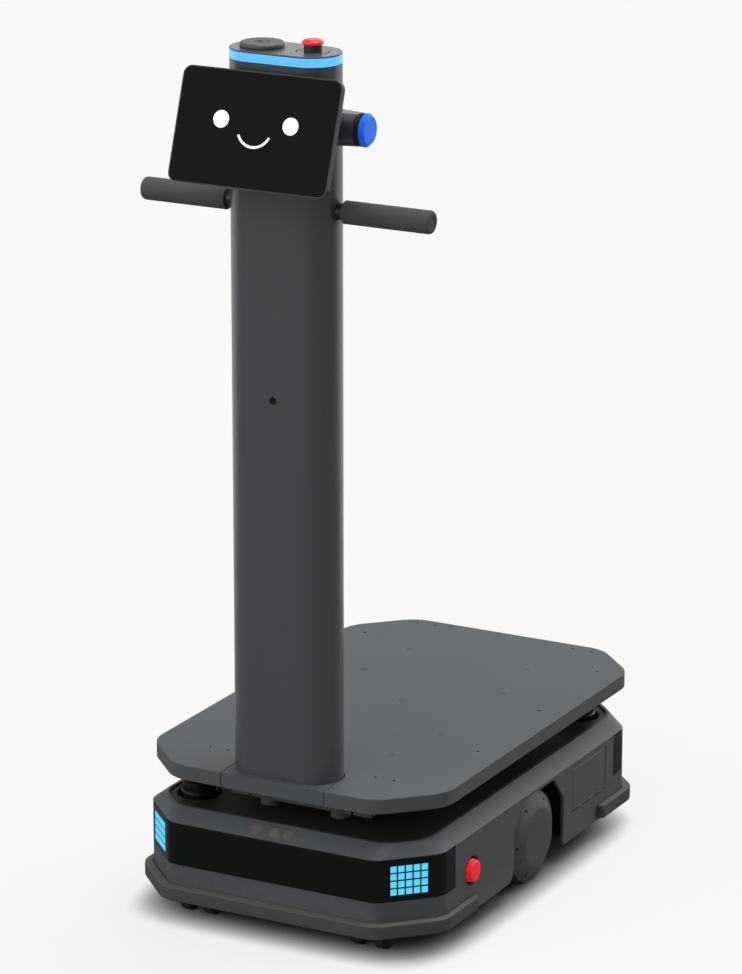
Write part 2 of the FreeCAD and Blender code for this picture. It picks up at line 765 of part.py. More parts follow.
def build_chassis():
    """The welded floor with castor housings, pivot ears and spring towers."""
    body = new_body("chassis_tray", (0, base_y, 0))
    castors = [(x, y) for x in (-k.castor_x, k.castor_x) for y in (-k.castor_y, k.castor_y)]
    sketch = new_sketch(body, "XY", k.tray_height)
    add_cut_corner_outline(sketch, inset(body_outline, k.shell_wall + k.seat_gap))
    pad(body, sketch, k.tray_thickness)
    sketch = new_sketch(body, "XY", k.tray_height)
    for x, y in castors:
        add_circle(sketch, x, y, k.hat_radius)
    pad(body, sketch, k.hat_height - k.tray_height)
    sketch = new_sketch(body, "XY", k.tray_height)
    for x, y in castors:
        add_circle(sketch, x, y, k.hat_radius - 3)
    cut(body, sketch, k.hat_height - k.tray_height - k.tray_thickness, along=True)

    wheel_bay = new_sketch(body, "XY", tray_top)
    bay_inside = k.arm_inside_face - 3
    bay_front = -k.spring_y - k.spring_radius - 3
    bay_back = k.pivot_y - k.pivot_radius - 8
    for side in (1, -1):
        add_rectangle(wheel_bay, (bay_inside + half_body_x) / 2 * side,
                      (bay_front + bay_back) / 2,
                      half_body_x - bay_inside, bay_back - bay_front)
    cut(body, wheel_bay, k.tray_thickness)

    ear_width = 18
    ear_x = k.arm_inside_face - 1 - ear_width / 2
    for side in (1, -1):
        ear = new_sketch(body, "YZ", ear_x * side)
        add_polygon(ear, [
            (k.pivot_y - 18, tray_top - 1), (k.pivot_y + 18, tray_top - 1),
            (k.pivot_y + 14, k.pivot_height + 14), (k.pivot_y - 14, k.pivot_height + 14)])
        pad(body, ear, ear_width, midplane=True)
        tower = new_sketch(body, "YZ", (k.arm_inside_face + k.arm_thickness / 2) * side)
        back = bay_front - 0.5
        reach = k.spring_radius + 1 - k.spring_y
        add_polygon(tower, [
            (back - 16, tray_top - 1), (back, tray_top - 1), (back, k.spring_top),
            (reach, k.spring_top), (reach, k.spring_top + 6), (back - 4, k.spring_top + 6),
            (back - 16, k.spring_top - 20)])
        pad(body, tower, 26, midplane=True)
        pin = new_sketch(body, "YZ", ear_x * side)
        add_circle(pin, k.pivot_y, k.pivot_height, k.pivot_radius)
        pad(body, pin, k.arm_inside_face + k.arm_thickness + 2 - ear_x, along=side > 0)

    runners = new_sketch(body, "XY", tray_top)
    for y in (-45, 45):
        add_rectangle(runners, 85, k.door_centre + y, 300, 10)
    pad(body, runners, k.door_bottom - tray_top)
    keep("chassis_tray", body)


def build_electronics():
    """The control box in front and the battery behind its door."""
    body = new_body("control_box", (0, base_y - 150, tray_top))
    sketch = new_sketch(body)
    add_rectangle(sketch, 0, 0, 200, 170)
    pad(body, sketch, 96)
    dress(body, "Fillet", 6, upright)
    keep("control_box", body)

    body = new_body("battery_pack", (85, base_y + k.door_centre, k.door_bottom))
    sketch = new_sketch(body)
    add_rectangle(sketch, 0, 0, 300, k.door_length - 8)
    pad(body, sketch, k.door_height - 6)
    dress(body, "Fillet", 5, upright)
    handle = new_sketch(body, "YZ", 151)
    add_slot(handle, 0, (k.door_height - 6) / 2, 30, 9)
    cut(body, handle, 13)
    keep("battery_pack", body)


def build_battery_door():
    """A flap hinged along its lower edge, with a finger groove at its rear."""
    thickness = k.door_thickness
    body = new_body("battery_door", (half_body_x - thickness, base_y + k.door_centre,
                                     k.door_bottom))
    sketch = new_sketch(body, "YZ")
    add_rectangle(sketch, 0, k.door_height / 2, k.door_length, k.door_height)
    pad(body, sketch, thickness)

    def corner(edge):
        box = edge.BoundBox
        return (box.XLength > thickness.number - 1e-3 and box.YLength < 1e-3
                and box.ZLength < 1e-3)

    dress(body, "Fillet", 4, corner)

    def lower_edge(edge):
        box = edge.BoundBox
        return box.YLength > k.door_length.number - 10 and abs(box.ZMax) < 1e-3

    dress(body, "Fillet", thickness / 2 - 0.01, lower_edge)
    groove = new_sketch(body, "YZ", thickness)
    add_rectangle(groove, k.door_length / 2 - 1, k.door_height / 2, 2, k.door_height - 12)
    cut(body, groove, 2)
    pin = new_sketch(body, "XZ")
    add_circle(pin, thickness / 2, thickness / 2, k.door_pin_radius)
    pad(body, pin, k.door_length + 7, midplane=True)
    for y in (-40, -8, 34):
        knuckle = new_sketch(body, "XZ", y)
        add_circle(knuckle, thickness / 2, thickness / 2, k.door_knuckle_radius)
        pad(body, knuckle, 15, midplane=True)
    keep("battery_door", body)


# --------------------------------------------------------------- the wheels

wheel_y = base_y
stub_end = k.hub_inside_face + k.axle_radius * 4
boss_end = k.hub_inside_face - k.seat_gap


def build_suspension(name, side):
    """A trailing arm with the wheel's axle, and the folded rubber spring on it."""
    centre_x = k.arm_inside_face + k.arm_thickness / 2
    body = new_body(f"suspension_arm_{name}",
                    (centre_x * side, base_y + k.pivot_y, k.pivot_height))
    axle_y = -k.pivot_y
    axle_z = k.wheel_radius - k.pivot_height
    seat_y = -k.pivot_y - k.spring_y
    seat_z = k.spring_seat - k.pivot_height
    sketch = new_sketch(body, "YZ")
    add_polygon(sketch, [
        (2, -15), (2, 15), (axle_y, axle_z + 22), (axle_y - 24, axle_z + 14),
        (seat_y + 24, seat_z - 0.5), (seat_y - 12, seat_z - 0.5), (seat_y - 12, seat_z - 9),
        (seat_y + 24, seat_z - 14), (axle_y, axle_z - 22)])
    pad(body, sketch, k.arm_thickness, midplane=True)
    sketch = new_sketch(body, "YZ")
    add_circle(sketch, 0, 0, k.pivot_radius * 2)
    pad(body, sketch, k.arm_thickness, midplane=True)
    sketch = new_sketch(body, "XY", seat_z)
    add_circle(sketch, 0, seat_y, k.spring_radius)
    pad(body, sketch, 5, along=False)
    sketch = new_sketch(body, "YZ")
    add_circle(sketch, axle_y, axle_z, k.axle_radius * 1.5)
    pad(body, sketch, boss_end - centre_x, along=side > 0)
    sketch = new_sketch(body, "YZ")
    add_circle(sketch, axle_y, axle_z, k.axle_radius)
    pad(body, sketch, stub_end - centre_x, along=side > 0)
    sketch = new_sketch(body, "YZ")
    add_circle(sketch, 0, 0, k.pivot_radius + k.running_clearance)
    cut(body, sketch, k.arm_thickness + 2, midplane=True)
    keep(f"suspension_arm_{name}", body)

    length = k.spring_top - k.spring_seat
    pitch = length / k.spring_lobes.number
    outside = [(k.spring_radius - k.spring_fold, 0)]
    for lobe in range(int(k.spring_lobes.number)):
        low = pitch * lobe
        outside += [(k.spring_radius, low + pitch * 0.3), (k.spring_radius, low + pitch * 0.7),
                    (k.spring_radius - k.spring_fold, low + pitch)]
    bore = k.spring_radius - k.spring_fold - k.spring_wall
    spring = turned(f"suspension_spring_{name}", [(bore, 0)] + outside + [(bore, length)],
                    (centre_x * side, base_y - k.spring_y, k.spring_seat))
    keep(f"suspension_spring_{name}", spring)


def build_drive_wheel(name, side):
    """A hub motor, its tyre and the dished cover screwed over them."""
    turn = toward_side(side)
    hub_length = k.tyre_inside_face + k.tyre_width + 0.5 - k.hub_inside_face
    step = k.tyre_inside_face - k.hub_inside_face
    bore = k.axle_radius + k.running_clearance
    depth = stub_end - k.hub_inside_face + 1
    hub = turned(f"drive_hub_{name}", [
        (bore, 0), (k.tyre_inner_radius - 10, 0), (k.tyre_inner_radius - 10, step),
        (k.tyre_inner_radius, step), (k.tyre_inner_radius, hub_length),
        (0, hub_length), (0, depth), (bore, depth)],
        (k.hub_inside_face * side, wheel_y, k.wheel_radius), Y_AXIS, turn)
    keep(f"drive_hub_{name}", hub)

    tyre = turned(f"drive_tyre_{name}", [
        (k.tyre_inner_radius, 0), (k.wheel_radius, 0), (k.wheel_radius, k.tyre_width),
        (k.tyre_inner_radius, k.tyre_width)],
        (k.tyre_inside_face * side, wheel_y, k.wheel_radius), Y_AXIS, turn)
    outside = k.wheel_radius.number

    def shoulder(edge):
        return edge.BoundBox.XLength > 2 * outside - 1e-3

    dress(tyre, "Fillet", 5, shoulder)
    keep(f"drive_tyre_{name}", tyre)

    back = k.tyre_inside_face + k.tyre_width + 0.5 + k.seat_gap
    height = k.cover_face - back
    slope = (height - k.cover_rim_thickness) / (k.cover_rim_radius - k.cover_face_radius)
    inside = height - k.cover_wall * 1.1
    ring = k.tyre_inner_radius - 8

    def under(radius):
        return inside - slope * (radius - k.cover_face_radius)

    cover = turned(f"wheel_cover_{name}", [
        (0, height), (k.cover_face_radius, height),
        (k.cover_rim_radius, k.cover_rim_thickness), (k.cover_rim_radius, 0),
        (k.cover_rim_radius - 3, 0), (k.cover_rim_radius - 3, under(k.cover_rim_radius - 3)),
        (ring, under(ring)), (ring, 0), (ring - 4, 0), (ring - 4, under(ring - 4)),
        (k.cover_face_radius, inside), (0, inside)],
        (back * side, wheel_y, k.wheel_radius), Y_AXIS, turn)
    sketch = new_sketch(cover, "XY")
    add_circle(sketch, 0, k.cover_screw_circle, k.cover_screw_radius)
    hole = cut(cover, sketch, height, along=True)
    polar_pattern(cover, hole, 6)
    keep(f"wheel_cover_{name}", cover)


def build_castors():
    """Twin-wheel castors that swivel under the corners of the chassis."""
    ceiling = k.hat_height - k.tray_thickness
    seat = ceiling - k.castor_plate_thickness
    radius = k.castor_wheel_radius
    outer = (k.castor_wheel_spacing + k.castor_wheel_width) / 2
    inner = (k.castor_wheel_spacing - k.castor_wheel_width) / 2
    stem_length = 20
    plates = []
    for end_name, end in ENDS:
        for side_name, side in SIDES:
            where = f"{end_name}_{side_name}"
            x = k.castor_x * side
            y = base_y + k.castor_y * end
            plates.append(turned(f"castor_plate_{where}", [
                (0, -stem_length), (k.castor_stem_radius, -stem_length),
                (k.castor_stem_radius, 0), (k.castor_plate_radius, 0),
                (k.castor_plate_radius, k.castor_plate_thickness),
                (0, k.castor_plate_thickness)], (x, y, seat)))

            fork = new_body(f"castor_fork_{where}", (x, y, seat - k.seat_gap))
            drop = radius - seat + k.seat_gap
            sketch = new_sketch(fork, "XY")
            add_circle(sketch, 0, 0, 16)
            pad(fork, sketch, stem_length + 2, along=False)
            sketch = new_sketch(fork, "YZ")
            add_polygon(sketch, [
                (14, -12), (-14, -12), (-k.castor_trail - 9, drop),
                (-k.castor_trail - 5, drop - 8), (-k.castor_trail + 5, drop - 8)])
            pad(fork, sketch, inner * 2 - 2, midplane=True)
            sketch = new_sketch(fork, "XY")
            add_circle(sketch, 0, 0, k.castor_stem_radius + k.running_clearance)
            cut(fork, sketch, stem_length + 0.5)
            sketch = new_sketch(fork, "YZ")
            add_circle(sketch, -k.castor_trail, drop,
                       k.castor_axle_radius + k.running_clearance)
            cut(fork, sketch, inner * 2, midplane=True)
            keep(f"castor_fork_{where}", fork)

            axle = k.castor_axle_radius
            wheels = turned(f"castor_wheels_{where}", [
                (0, -outer), (radius - 3, -outer), (radius, 3 - outer),
                (radius, -inner - 3), (radius - 3, -inner), (axle, -inner),
                (axle, inner), (radius - 3, inner), (radius, inner + 3),
                (radius, outer - 3), (radius - 3, outer), (0, outer)],
                (x, y - k.castor_trail, radius), Y_AXIS, 90)
            keep(f"castor_wheels_{where}", wheels)
    keep("castor_plates", group("castor_plates", plates))


# ----------------------------------------------------------------- the deck

deck_y = base_y + k.deck_shift
deck_front = base_y + k.deck_shift - k.deck_length / 2
deck_bottom = k.deck_top - k.deck_thickness
mast_y = deck_front + k.mast_setback
deck_outline = (k.deck_width / 2, k.deck_length / 2, k.deck_corner_cut,
                k.deck_corner_radius)
BOLTS = ((-104, -199), (104, -199), (-123, -77.5), (123, -77.5), (0, 28.5),
         (-123, 133), (123, 133), (-104, 255), (104, 255))
INSERTS = ((125, -293), (156.5, -293), (208, -121.5), (208, 87.5), (208, 297),
           (125, 381), (156.5, 381))
BEAMS = ((-275, k.frame_half_width), (-77.5, 145), (28.5, k.frame_half_width),
         (133, 145), (275, k.frame_half_width))


def build_deck_frame():
    """A ladder of downward-open channels on four posts."""
    body = new_body("deck_frame", (0, base_y, 0))
    height = deck_bottom - k.frame_bottom
    length = k.frame_half_length * 2
    side_beams = new_sketch(body, "XY", k.frame_bottom)
    for x in (-k.beam_x, k.beam_x):
        add_rectangle(side_beams, x, 0, k.beam_width, length)
    pad(body, side_beams, height)
    for y, half in BEAMS:
        sketch = new_sketch(body, "XY", k.frame_bottom)
        add_rectangle(sketch, 0, y, half * 2, k.beam_width)
        pad(body, sketch, height)
    wall = k.beam_wall * 2
    for y, half in BEAMS:
        sketch = new_sketch(body, "XY", k.frame_bottom)
        add_rectangle(sketch, 0, y, half * 2 - wall, k.beam_width - wall)
        cut(body, sketch, height - k.beam_wall, along=True)
    hollows = new_sketch(body, "XY", k.frame_bottom)
    for x in (-k.beam_x, k.beam_x):
        add_rectangle(hollows, x, 0, k.beam_width - wall, length - wall)
    cut(body, hollows, height - k.beam_wall, along=True)
    posts = new_sketch(body, "XY", tray_top)
    for x in (-k.post_x, k.post_x):
        for y in (-k.post_y, k.post_y):
            add_circle(posts, x, y, k.post_radius)
            add_circle(posts, x, y, k.post_radius - 3)
    pad(body, posts, deck_bottom - tray_top - 1)
    holes = new_sketch(body, "XY", deck_bottom)
    for x, y in BOLTS:
        add_circle(holes, x, y, k.bolt_shank_radius + k.seat_gap)
    cut(body, holes, k.beam_wall)
    notches = new_sketch(body, "XZ", k.frame_half_length)
    for side in (-1, 1):
        add_rectangle(notches, 87 * side, k.frame_bottom + 3, 3.5, 8)
        add_slot(notches, 69.5 * side, k.frame_bottom + 6.5, 4.5, 2.8)
    cut(body, notches, k.beam_wall)
    keep("deck_frame", body)


def build_deck_plate():
    """The load deck, pocketed from below, open in front for the mast's foot."""
    body = new_body("deck_plate", (0, deck_y, 0))
    sketch = new_sketch(body, "XY", deck_bottom)
    add_cut_corner_outline(sketch, deck_outline)
    pad(body, sketch, k.deck_thickness)
    foot = k.mast_end_radius + k.seam
    foot_y = k.mast_setback - k.deck_length / 2
    half = k.mast_half_width + k.seam
    sketch = new_sketch(body, "XY", k.deck_top)
    add_slot(sketch, 0, foot_y, half, foot)
    cut(body, sketch, k.deck_thickness)
    sketch = new_sketch(body, "XY", k.deck_top)
    add_rectangle(sketch, 0, foot_y - k.mast_setback, half * 2, k.mast_setback * 2)
    cut(body, sketch, k.deck_thickness)
    pockets = new_sketch(body, "XY", deck_bottom)
    for side in (-1, 1):
        add_rectangle(pockets, 166 * side, 41, 58, 560)
    for y, length in ((-180, 139), (-24.5, 45), (80.5, 45), (206, 87)):
        add_rectangle(pockets, 0, y - k.deck_shift, 152, length)
    cut(body, pockets, k.deck_thickness - 5, along=True)
    heads = new_sketch(body, "XY", k.deck_top)
    shanks = new_sketch(body, "XY", k.deck_top)
    for x, y in BOLTS:
        add_circle(heads, x, y - k.deck_shift, k.bolt_radius + k.seat_gap)
        add_circle(shanks, x, y - k.deck_shift, k.bolt_shank_radius + k.seat_gap)
    cut(body, heads, k.bolt_head)
    cut(body, shanks, k.deck_thickness)
    inserts = new_sketch(body, "XY", k.deck_top)
    for x, y in INSERTS:
        for side in (-1, 1):
            add_circle(inserts, x * side, y - k.deck_shift, k.insert_hole_radius)
    cut(body, inserts, k.deck_thickness)
    dress(body, "Chamfer", 1, deck_rim)
    keep("deck_plate", body)

    bolts = new_body("deck_bolts", (0, base_y, 0))
    heads = new_sketch(bolts, "XY", k.deck_top)
    shanks = new_sketch(bolts, "XY", k.deck_top)
    for x, y in BOLTS:
        add_circle(heads, x, y, k.bolt_radius)
        add_circle(shanks, x, y, k.bolt_shank_radius)
    pad(bolts, heads, k.bolt_head, along=False)
    pad(bolts, shanks, k.deck_thickness + k.beam_wall + 2, along=False)
    keep("deck_bolts", bolts)


def deck_rim(edge):
    """The deck's upper outer edges, clear of the mast's foot and the holes."""
    box = edge.BoundBox
    middle = edge.CenterOfMass
    half_length = k.deck_length.number / 2
    in_notch = abs(middle.x) < k.mast_half_width.number + 10 and middle.y < 0
    return (level_at(k.deck_top)(edge) and box.DiagonalLength > 20 and not in_notch
            and (abs(middle.x) > 165 or abs(middle.y) > half_length - 5))


def build_mast_base():
    """The foot that carries the mast, let into the deck's front edge."""
    body = new_body("mast_base", (0, mast_y, 0))
    sketch = new_sketch(body, "XY", deck_bottom)
    add_slot(sketch, 0, 0, k.mast_half_width, k.mast_end_radius)
    pad(body, sketch, k.deck_thickness)
    sketch = new_sketch(body, "XY", deck_bottom)
    add_rectangle(sketch, 0, -k.mast_setback / 2, k.mast_half_width * 2, k.mast_setback)
    pad(body, sketch, k.deck_thickness)
    sketch = new_sketch(body, "XY", deck_bottom)
    flange_back = base_y - k.frame_half_length - mast_y - k.seat_gap
    flange_front = 11 - k.mast_setback
    add_rectangle(sketch, 0, (flange_front + flange_back) / 2,
                  k.mast_half_width * 2, flange_back - flange_front)
    pad(body, sketch, 6, along=False)
    keep("mast_base", body)


# ----------------------------------------------------------------- the mast

band_top = k.mast_top + k.band_height
cap_top = band_top + k.cap_thickness
mast_front = mast_y - k.mast_end_radius


def add_mast_section(sketch, inward):
    """The mast's flat-sided outline, a distance inside its surface."""
    add_slot(sketch, 0, 0, k.mast_half_width - inward, k.mast_end_radius - inward)


def build_mast():
    """An extruded column with two inner webs, bored for what it carries."""
    body = new_body("mast_tube", (0, mast_y, 0))
    sketch = new_sketch(body, "XY", k.deck_top)
    add_mast_section(sketch, 0)
    add_mast_section(sketch, k.mast_wall)
    pad(body, sketch, k.mast_top - k.deck_top)
    webs = new_sketch(body, "XY", k.deck_top)
    for x in (-28, 28):
        add_rectangle(webs, x, 0, k.mast_wall, k.mast_end_radius * 2 - k.mast_wall)
    pad(body, webs, k.mast_top - k.deck_top - 40)
    sketch = new_sketch(body, "YZ")
    add_circle(sketch, 0, k.handlebar_height, k.handlebar_radius + k.seat_gap)
    cut(body, sketch, k.mast_half_width * 3, midplane=True)
    sketch = new_sketch(body, "YZ", k.mast_half_width * 0.6)
    add_circle(sketch, 0, k.arm_height, k.handlebar_radius + k.seat_gap)
    cut(body, sketch, k.mast_half_width, along=True)
    sketch = new_sketch(body, "XZ")
    add_circle(sketch, 0, k.camera_height, k.camera_radius - 1)
    cut(body, sketch, k.mast_end_radius * 2, along=True)
    keep("mast_tube", body)

    camera = turned("mast_camera", [
        (0, -14), (k.camera_radius - 1.3, -14), (k.camera_radius - 1.3, 0),
        (k.camera_radius, 0), (k.camera_radius - 0.4, 0.8), (k.camera_radius - 1.6, 0.8),
        (k.camera_radius - 2.4, -0.6), (0, -0.6)],
        (0, mast_front, k.camera_height), X_AXIS, 90)
    keep("mast_camera", camera)


def build_mast_top():
    """The light band, the cap that closes the mast and the sensor's cover."""
    body = new_body("light_band", (0, mast_y, 0))
    sketch = new_sketch(body, "XY", k.mast_top)
    add_mast_section(sketch, 0)
    add_mast_section(sketch, k.mast_wall)
    pad(body, sketch, k.band_height)
    keep("light_band", body)

    body = new_body("mast_cap", (0, mast_y, 0))
    plug = k.mast_wall + k.seat_gap
    sketch = new_sketch(body, "XY", band_top)
    add_mast_section(sketch, 0)
    pad(body, sketch, k.cap_thickness)
    sketch = new_sketch(body, "XY", band_top)
    add_mast_section(sketch, plug)
    pad(body, sketch, k.band_height * 2, along=False)
    sketch = new_sketch(body, "XY", band_top - k.band_height * 2)
    add_mast_section(sketch, plug + 4)
    cut(body, sketch, k.band_height * 2 - 5, along=True)
    sketch = new_sketch(body, "XY", cap_top)
    add_circle(sketch, k.top_stop_x, 0, k.stop_stem_radius + k.seat_gap)
    cut(body, sketch, k.band_height)
    dress(body, "Fillet", 1, level_at(cap_top))
    keep("mast_cap", body)

    radius = k.puck_radius
    body = turned("sensor_cover", [
        (0, 0), (radius - 2, 0), (radius - 2, 1.5), (radius, 1.5),
        (radius, k.puck_height - 3), (radius - 0.8, k.puck_height - 1.2),
        (radius - 2.6, k.puck_height), (0, k.puck_height)],
        (-k.puck_x, mast_y, cap_top))
    keep("sensor_cover", body)


def build_side_arm():
    """A short arm on the mast's right side, with the call button at its end."""
    body = new_body("side_arm", (0, mast_y, k.arm_height))
    root = new_sketch(body, "YZ", k.mast_half_width - 20)
    add_rounded_rectangle(root, k.arm_root_depth, k.arm_root_height, k.arm_root_corner)
    tip = new_sketch(body, "YZ", k.arm_end)
    tip_size = k.bezel_radius * 2 - 1
    add_rounded_rectangle(tip, tip_size, tip_size, k.arm_tip_corner)
    loft = body.newObject("PartDesign::AdditiveLoft", "arm")
    loft.Profile = root
    loft.Sections = [tip]
    loft.Ruled = True
    section = new_sketch(body, "XY")
    add_slot(section, 0, 0, k.mast_half_width + k.seat_gap,
             k.mast_end_radius + k.seat_gap)
    cut(body, section, k.arm_root_height * 2, midplane=True)
    spigot = new_sketch(body, "YZ", k.mast_half_width - 12)
    add_circle(spigot, 0, 0, k.handlebar_radius)
    pad(body, spigot, k.arm_end - k.mast_half_width)
    socket = new_sketch(body, "YZ", k.arm_end)
    add_circle(socket, 0, 0, k.stop_stem_radius + k.seat_gap)
    cut(body, socket, 12)
    keep("side_arm", body)

    boss = k.bezel_radius - 4.5
    guide = k.stop_stem_radius + k.running_clearance
    step = k.bezel_thickness
    boss_top = step + 3
    bezel = turned("call_button_bezel", [
        (guide, 0), (k.bezel_radius - 1, 0), (k.bezel_radius, 1), (k.bezel_radius, step),
        (boss, step), (boss, boss_top), (guide, boss_top)],
        (k.arm_end, mast_y, k.arm_height), Y_AXIS, 90)
    keep("call_button_bezel", bezel)

    back = step + k.call_travel + 0.5
    face = k.call_face - k.arm_end
    hollow = boss_top + k.call_travel + 0.5
    flange_top = face - 3.2
    button = turned("call_button", [
        (0, -1), (k.stop_stem_radius, -1), (k.stop_stem_radius, hollow),
        (boss + k.seat_gap, hollow), (boss + k.seat_gap, back),
        (k.call_flange_radius, back), (k.call_flange_radius, flange_top - 1.5),
        (k.call_flange_radius - 1.5, flange_top), (k.call_face_radius, flange_top),
        (k.call_face_radius, face - 1.5), (k.call_face_radius - 1.5, face), (0, face)],
        (k.arm_end, mast_y, k.arm_height), Y_AXIS, 90)
    keep("call_button", button)


def build_stop_button(name, at, axis, angle, collar_radius, foot, outside, face):
    """A latching stop button: the stem slides in, the head twists to release.

    The head's outside profile runs from its foot, over the collar, to its face.
    """
    stem = k.stop_stem_radius
    bore = stem + k.running_clearance
    hollow = foot + k.stop_travel + 0.5
    collar = collar_radius + k.seat_gap
    seat = face - 1.5
    keep(f"stop_stem_{name}", turned(f"stop_stem_{name}", [
        (0, -5), (stem, -5), (stem, seat), (0, seat)], at, axis, angle))
    keep(f"stop_head_{name}", turned(f"stop_head_{name}", [
        (bore, hollow), (collar, hollow), (collar, foot)] + outside + [
        (0, face), (0, seat + k.seat_gap), (bore, seat + k.seat_gap)], at, axis, angle))


def build_stop_buttons():
    """One stop button on the mast and one in a cup on each side of the base."""
    guide = k.stop_stem_radius + k.running_clearance
    at = (k.top_stop_x, mast_y, cap_top)
    foot = k.top_collar_height
    face = foot + k.top_head_height
    radius = k.top_head_radius
    build_stop_button("top", at, None, 0, k.top_collar_radius, foot, [
        (radius - 1, foot), (radius, foot + 0.8), (radius, foot + 3), (radius - 1, foot + 4.2),
        (radius - 3.5, face - 0.8), (radius - 6.5, face)], face)
    collar = turned("stop_collar_top", [
        (guide, 0), (k.top_collar_radius, 0), (k.top_collar_radius, foot),
        (guide, foot)], at)
    keep("stop_collar_top", collar)

    foot = k.side_collar_height
    face = foot + k.side_head_height
    waist = foot + k.side_head_height * 0.55
    radius = k.side_head_radius
    outside = [
        (radius - 1, foot), (radius, foot + 1), (radius, waist - 1.5),
        (radius - 0.8, waist - 0.4), (radius - 2.2, waist), (radius - 2.2, waist + 0.8),
        (radius - 0.8, waist + 1.4), (radius - 0.8, face - 2.4), (radius - 1.8, face - 1),
        (radius - 4, face - 0.2), (radius - 7, face)]
    depth = foot + k.side_head_height - k.side_stop_proud
    outer = k.recess_radius - k.seat_gap
    inner = outer - k.recess_wall
    shell_back = depth - k.shell_wall - k.seat_gap
    cups = []
    for name, side in SIDES:
        at = ((half_body_x - depth) * side, base_y - k.side_stop_y, k.side_stop_height)
        turn = toward_side(side)
        build_stop_button(name, at, Y_AXIS, turn, k.side_collar_radius, foot, outside,
                          face)
        cups.append(turned(f"stop_cup_{name}", [
            (guide, -3), (outer, -3), (outer, shell_back - 3), (outer + 4, shell_back - 3),
            (outer + 4, shell_back), (outer, shell_back), (outer, depth),
            (inner, depth), (inner, 0), (k.side_collar_radius, 0),
            (k.side_collar_radius, foot), (guide, foot)], at, Y_AXIS, turn))
    keep("side_stop_cups", group("side_stop_cups", cups))


def build_handlebar():
    """The push bar through the mast, with a foam grip on each side."""
    half = k.grip_end - 4
    bar = new_body("handlebar_tube", (0, mast_y, k.handlebar_height))
    sketch = new_sketch(bar, "YZ")
    add_circle(sketch, 0, 0, k.handlebar_radius)
    add_circle(sketch, 0, 0, k.handlebar_radius - 2)
    pad(bar, sketch, half * 2, midplane=True)
    keep("handlebar_tube", bar)
    bore = k.handlebar_radius + k.running_clearance
    radius = k.grip_radius
    length = k.grip_end - k.grip_start
    for name, side in SIDES:
        grip = turned(f"grip_{name}", [
            (bore, 0), (radius - 1.5, 0), (radius, 1.5), (radius, 5.5), (radius - 1, 6),
            (radius - 1, 7), (radius, 7.5), (radius, length - 4), (radius - 1.2, length - 1.2),
            (radius - 4, length), (radius - 8, length), (radius - 8.5, length - 1.5),
            (0, length - 1.5), (0, length - 3.5), (bore, length - 3.5)],
            (k.grip_start * side, mast_y, k.handlebar_height), Y_AXIS, toward_side(side))
        keep(f"grip_{name}", grip)


# --------------------------------------------------------------- the screen


def build_tablet():
    """The leaning screen, its glass and the wedge that holds it to the mast."""
    centre_y = mast_front - k.tablet_standoff
    at = (0, centre_y, k.tablet_centre_height)
    lean = 90 - k.tablet_tilt
    housing = new_body("tablet_housing", at, X_AXIS, lean)
    sketch = new_sketch(housing)
    add_rounded_rectangle(sketch, k.tablet_width, k.tablet_height, k.tablet_corner)
    pad(housing, sketch, k.tablet_thickness, along=False)
    dress(housing, "Fillet", 2, level_at(-k.tablet_thickness))
    glass_width = k.tablet_width - k.glass_border * 2
    glass_height = k.tablet_height - k.glass_border * 2
    glass_corner = k.tablet_corner - k.glass_border
    sketch = new_sketch(housing)
    add_rounded_rectangle(sketch, glass_width + k.seat_gap, glass_height + k.seat_gap,
                          glass_corner + k.seat_gap / 2)
    cut(housing, sketch, k.glass_thickness)
    sketch = new_sketch(housing, "XY", -k.tablet_thickness)
    add_rounded_rectangle(sketch, k.hump_width, k.hump_height, 10)
    pad(housing, sketch, k.hump_depth, along=False)
    keep("tablet_housing", housing)

    glass = new_body("tablet_glass", at, X_AXIS, lean)
    sketch = new_sketch(glass)
    add_rounded_rectangle(sketch, glass_width, glass_height, glass_corner)
    pad(glass, sketch, k.glass_thickness, along=False)
    keep("tablet_glass", glass)

    back = k.tablet_thickness + k.hump_depth + k.seat_gap
    reach = k.hump_height / 2 - 6

    def behind(along):
        y = along * sine(k.tablet_tilt) + back * cosine(k.tablet_tilt)
        z = along * cosine(k.tablet_tilt) - back * sine(k.tablet_tilt)
        return (y, z)

    low_y, low_z = behind(-reach)
    high_y, high_z = behind(reach)
    bracket = new_body("tablet_bracket", at)
    sketch = new_sketch(bracket, "YZ")
    add_polygon(sketch, [(low_y, low_z), (k.tablet_standoff, low_z - 8),
                         (k.tablet_standoff, high_z), (high_y, high_z)])
    pad(bracket, sketch, k.mast_end_radius * 1.6, midplane=True)
    keep("tablet_bracket", bracket)


# ------------------------------------------------------- build, check, export

build_body_shell()
build_light_panels()
build_led_matrices()
build_bumpers()
build_camera()
build_top_cover()
build_lidars()
build_chassis()
build_electronics()
build_battery_door()
for side_name, side_sign in SIDES:
    build_suspension(side_name, side_sign)
    build_drive_wheel(side_name, side_sign)
build_castors()
build_deck_frame()
build_deck_plate()
build_mast_base()
build_mast()
build_mast_top()
build_side_arm()
build_stop_buttons()
build_handlebar()
build_tablet()
doc.recompute()

for thing in doc.Objects:
    if "Invalid" in thing.State or "Error" in thing.State:
        raise RuntimeError(f"{thing.Name}: {thing.State}")

os.makedirs("parts", exist_ok=True)
for label, thing in PARTS.items():
    shape = thing.Shape
    if shape.isNull() or not shape.isValid() or shape.Volume <= 0:
        raise RuntimeError(f"{label}: bad shape")
    shape.exportStep(f"parts/{label}.step")
    print(f"{label}: {len(shape.Solids)} solid(s), {shape.Volume / 1000:.1f} cm3")
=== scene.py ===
import math

import bmesh
import bpy
from mathutils import Matrix, Vector


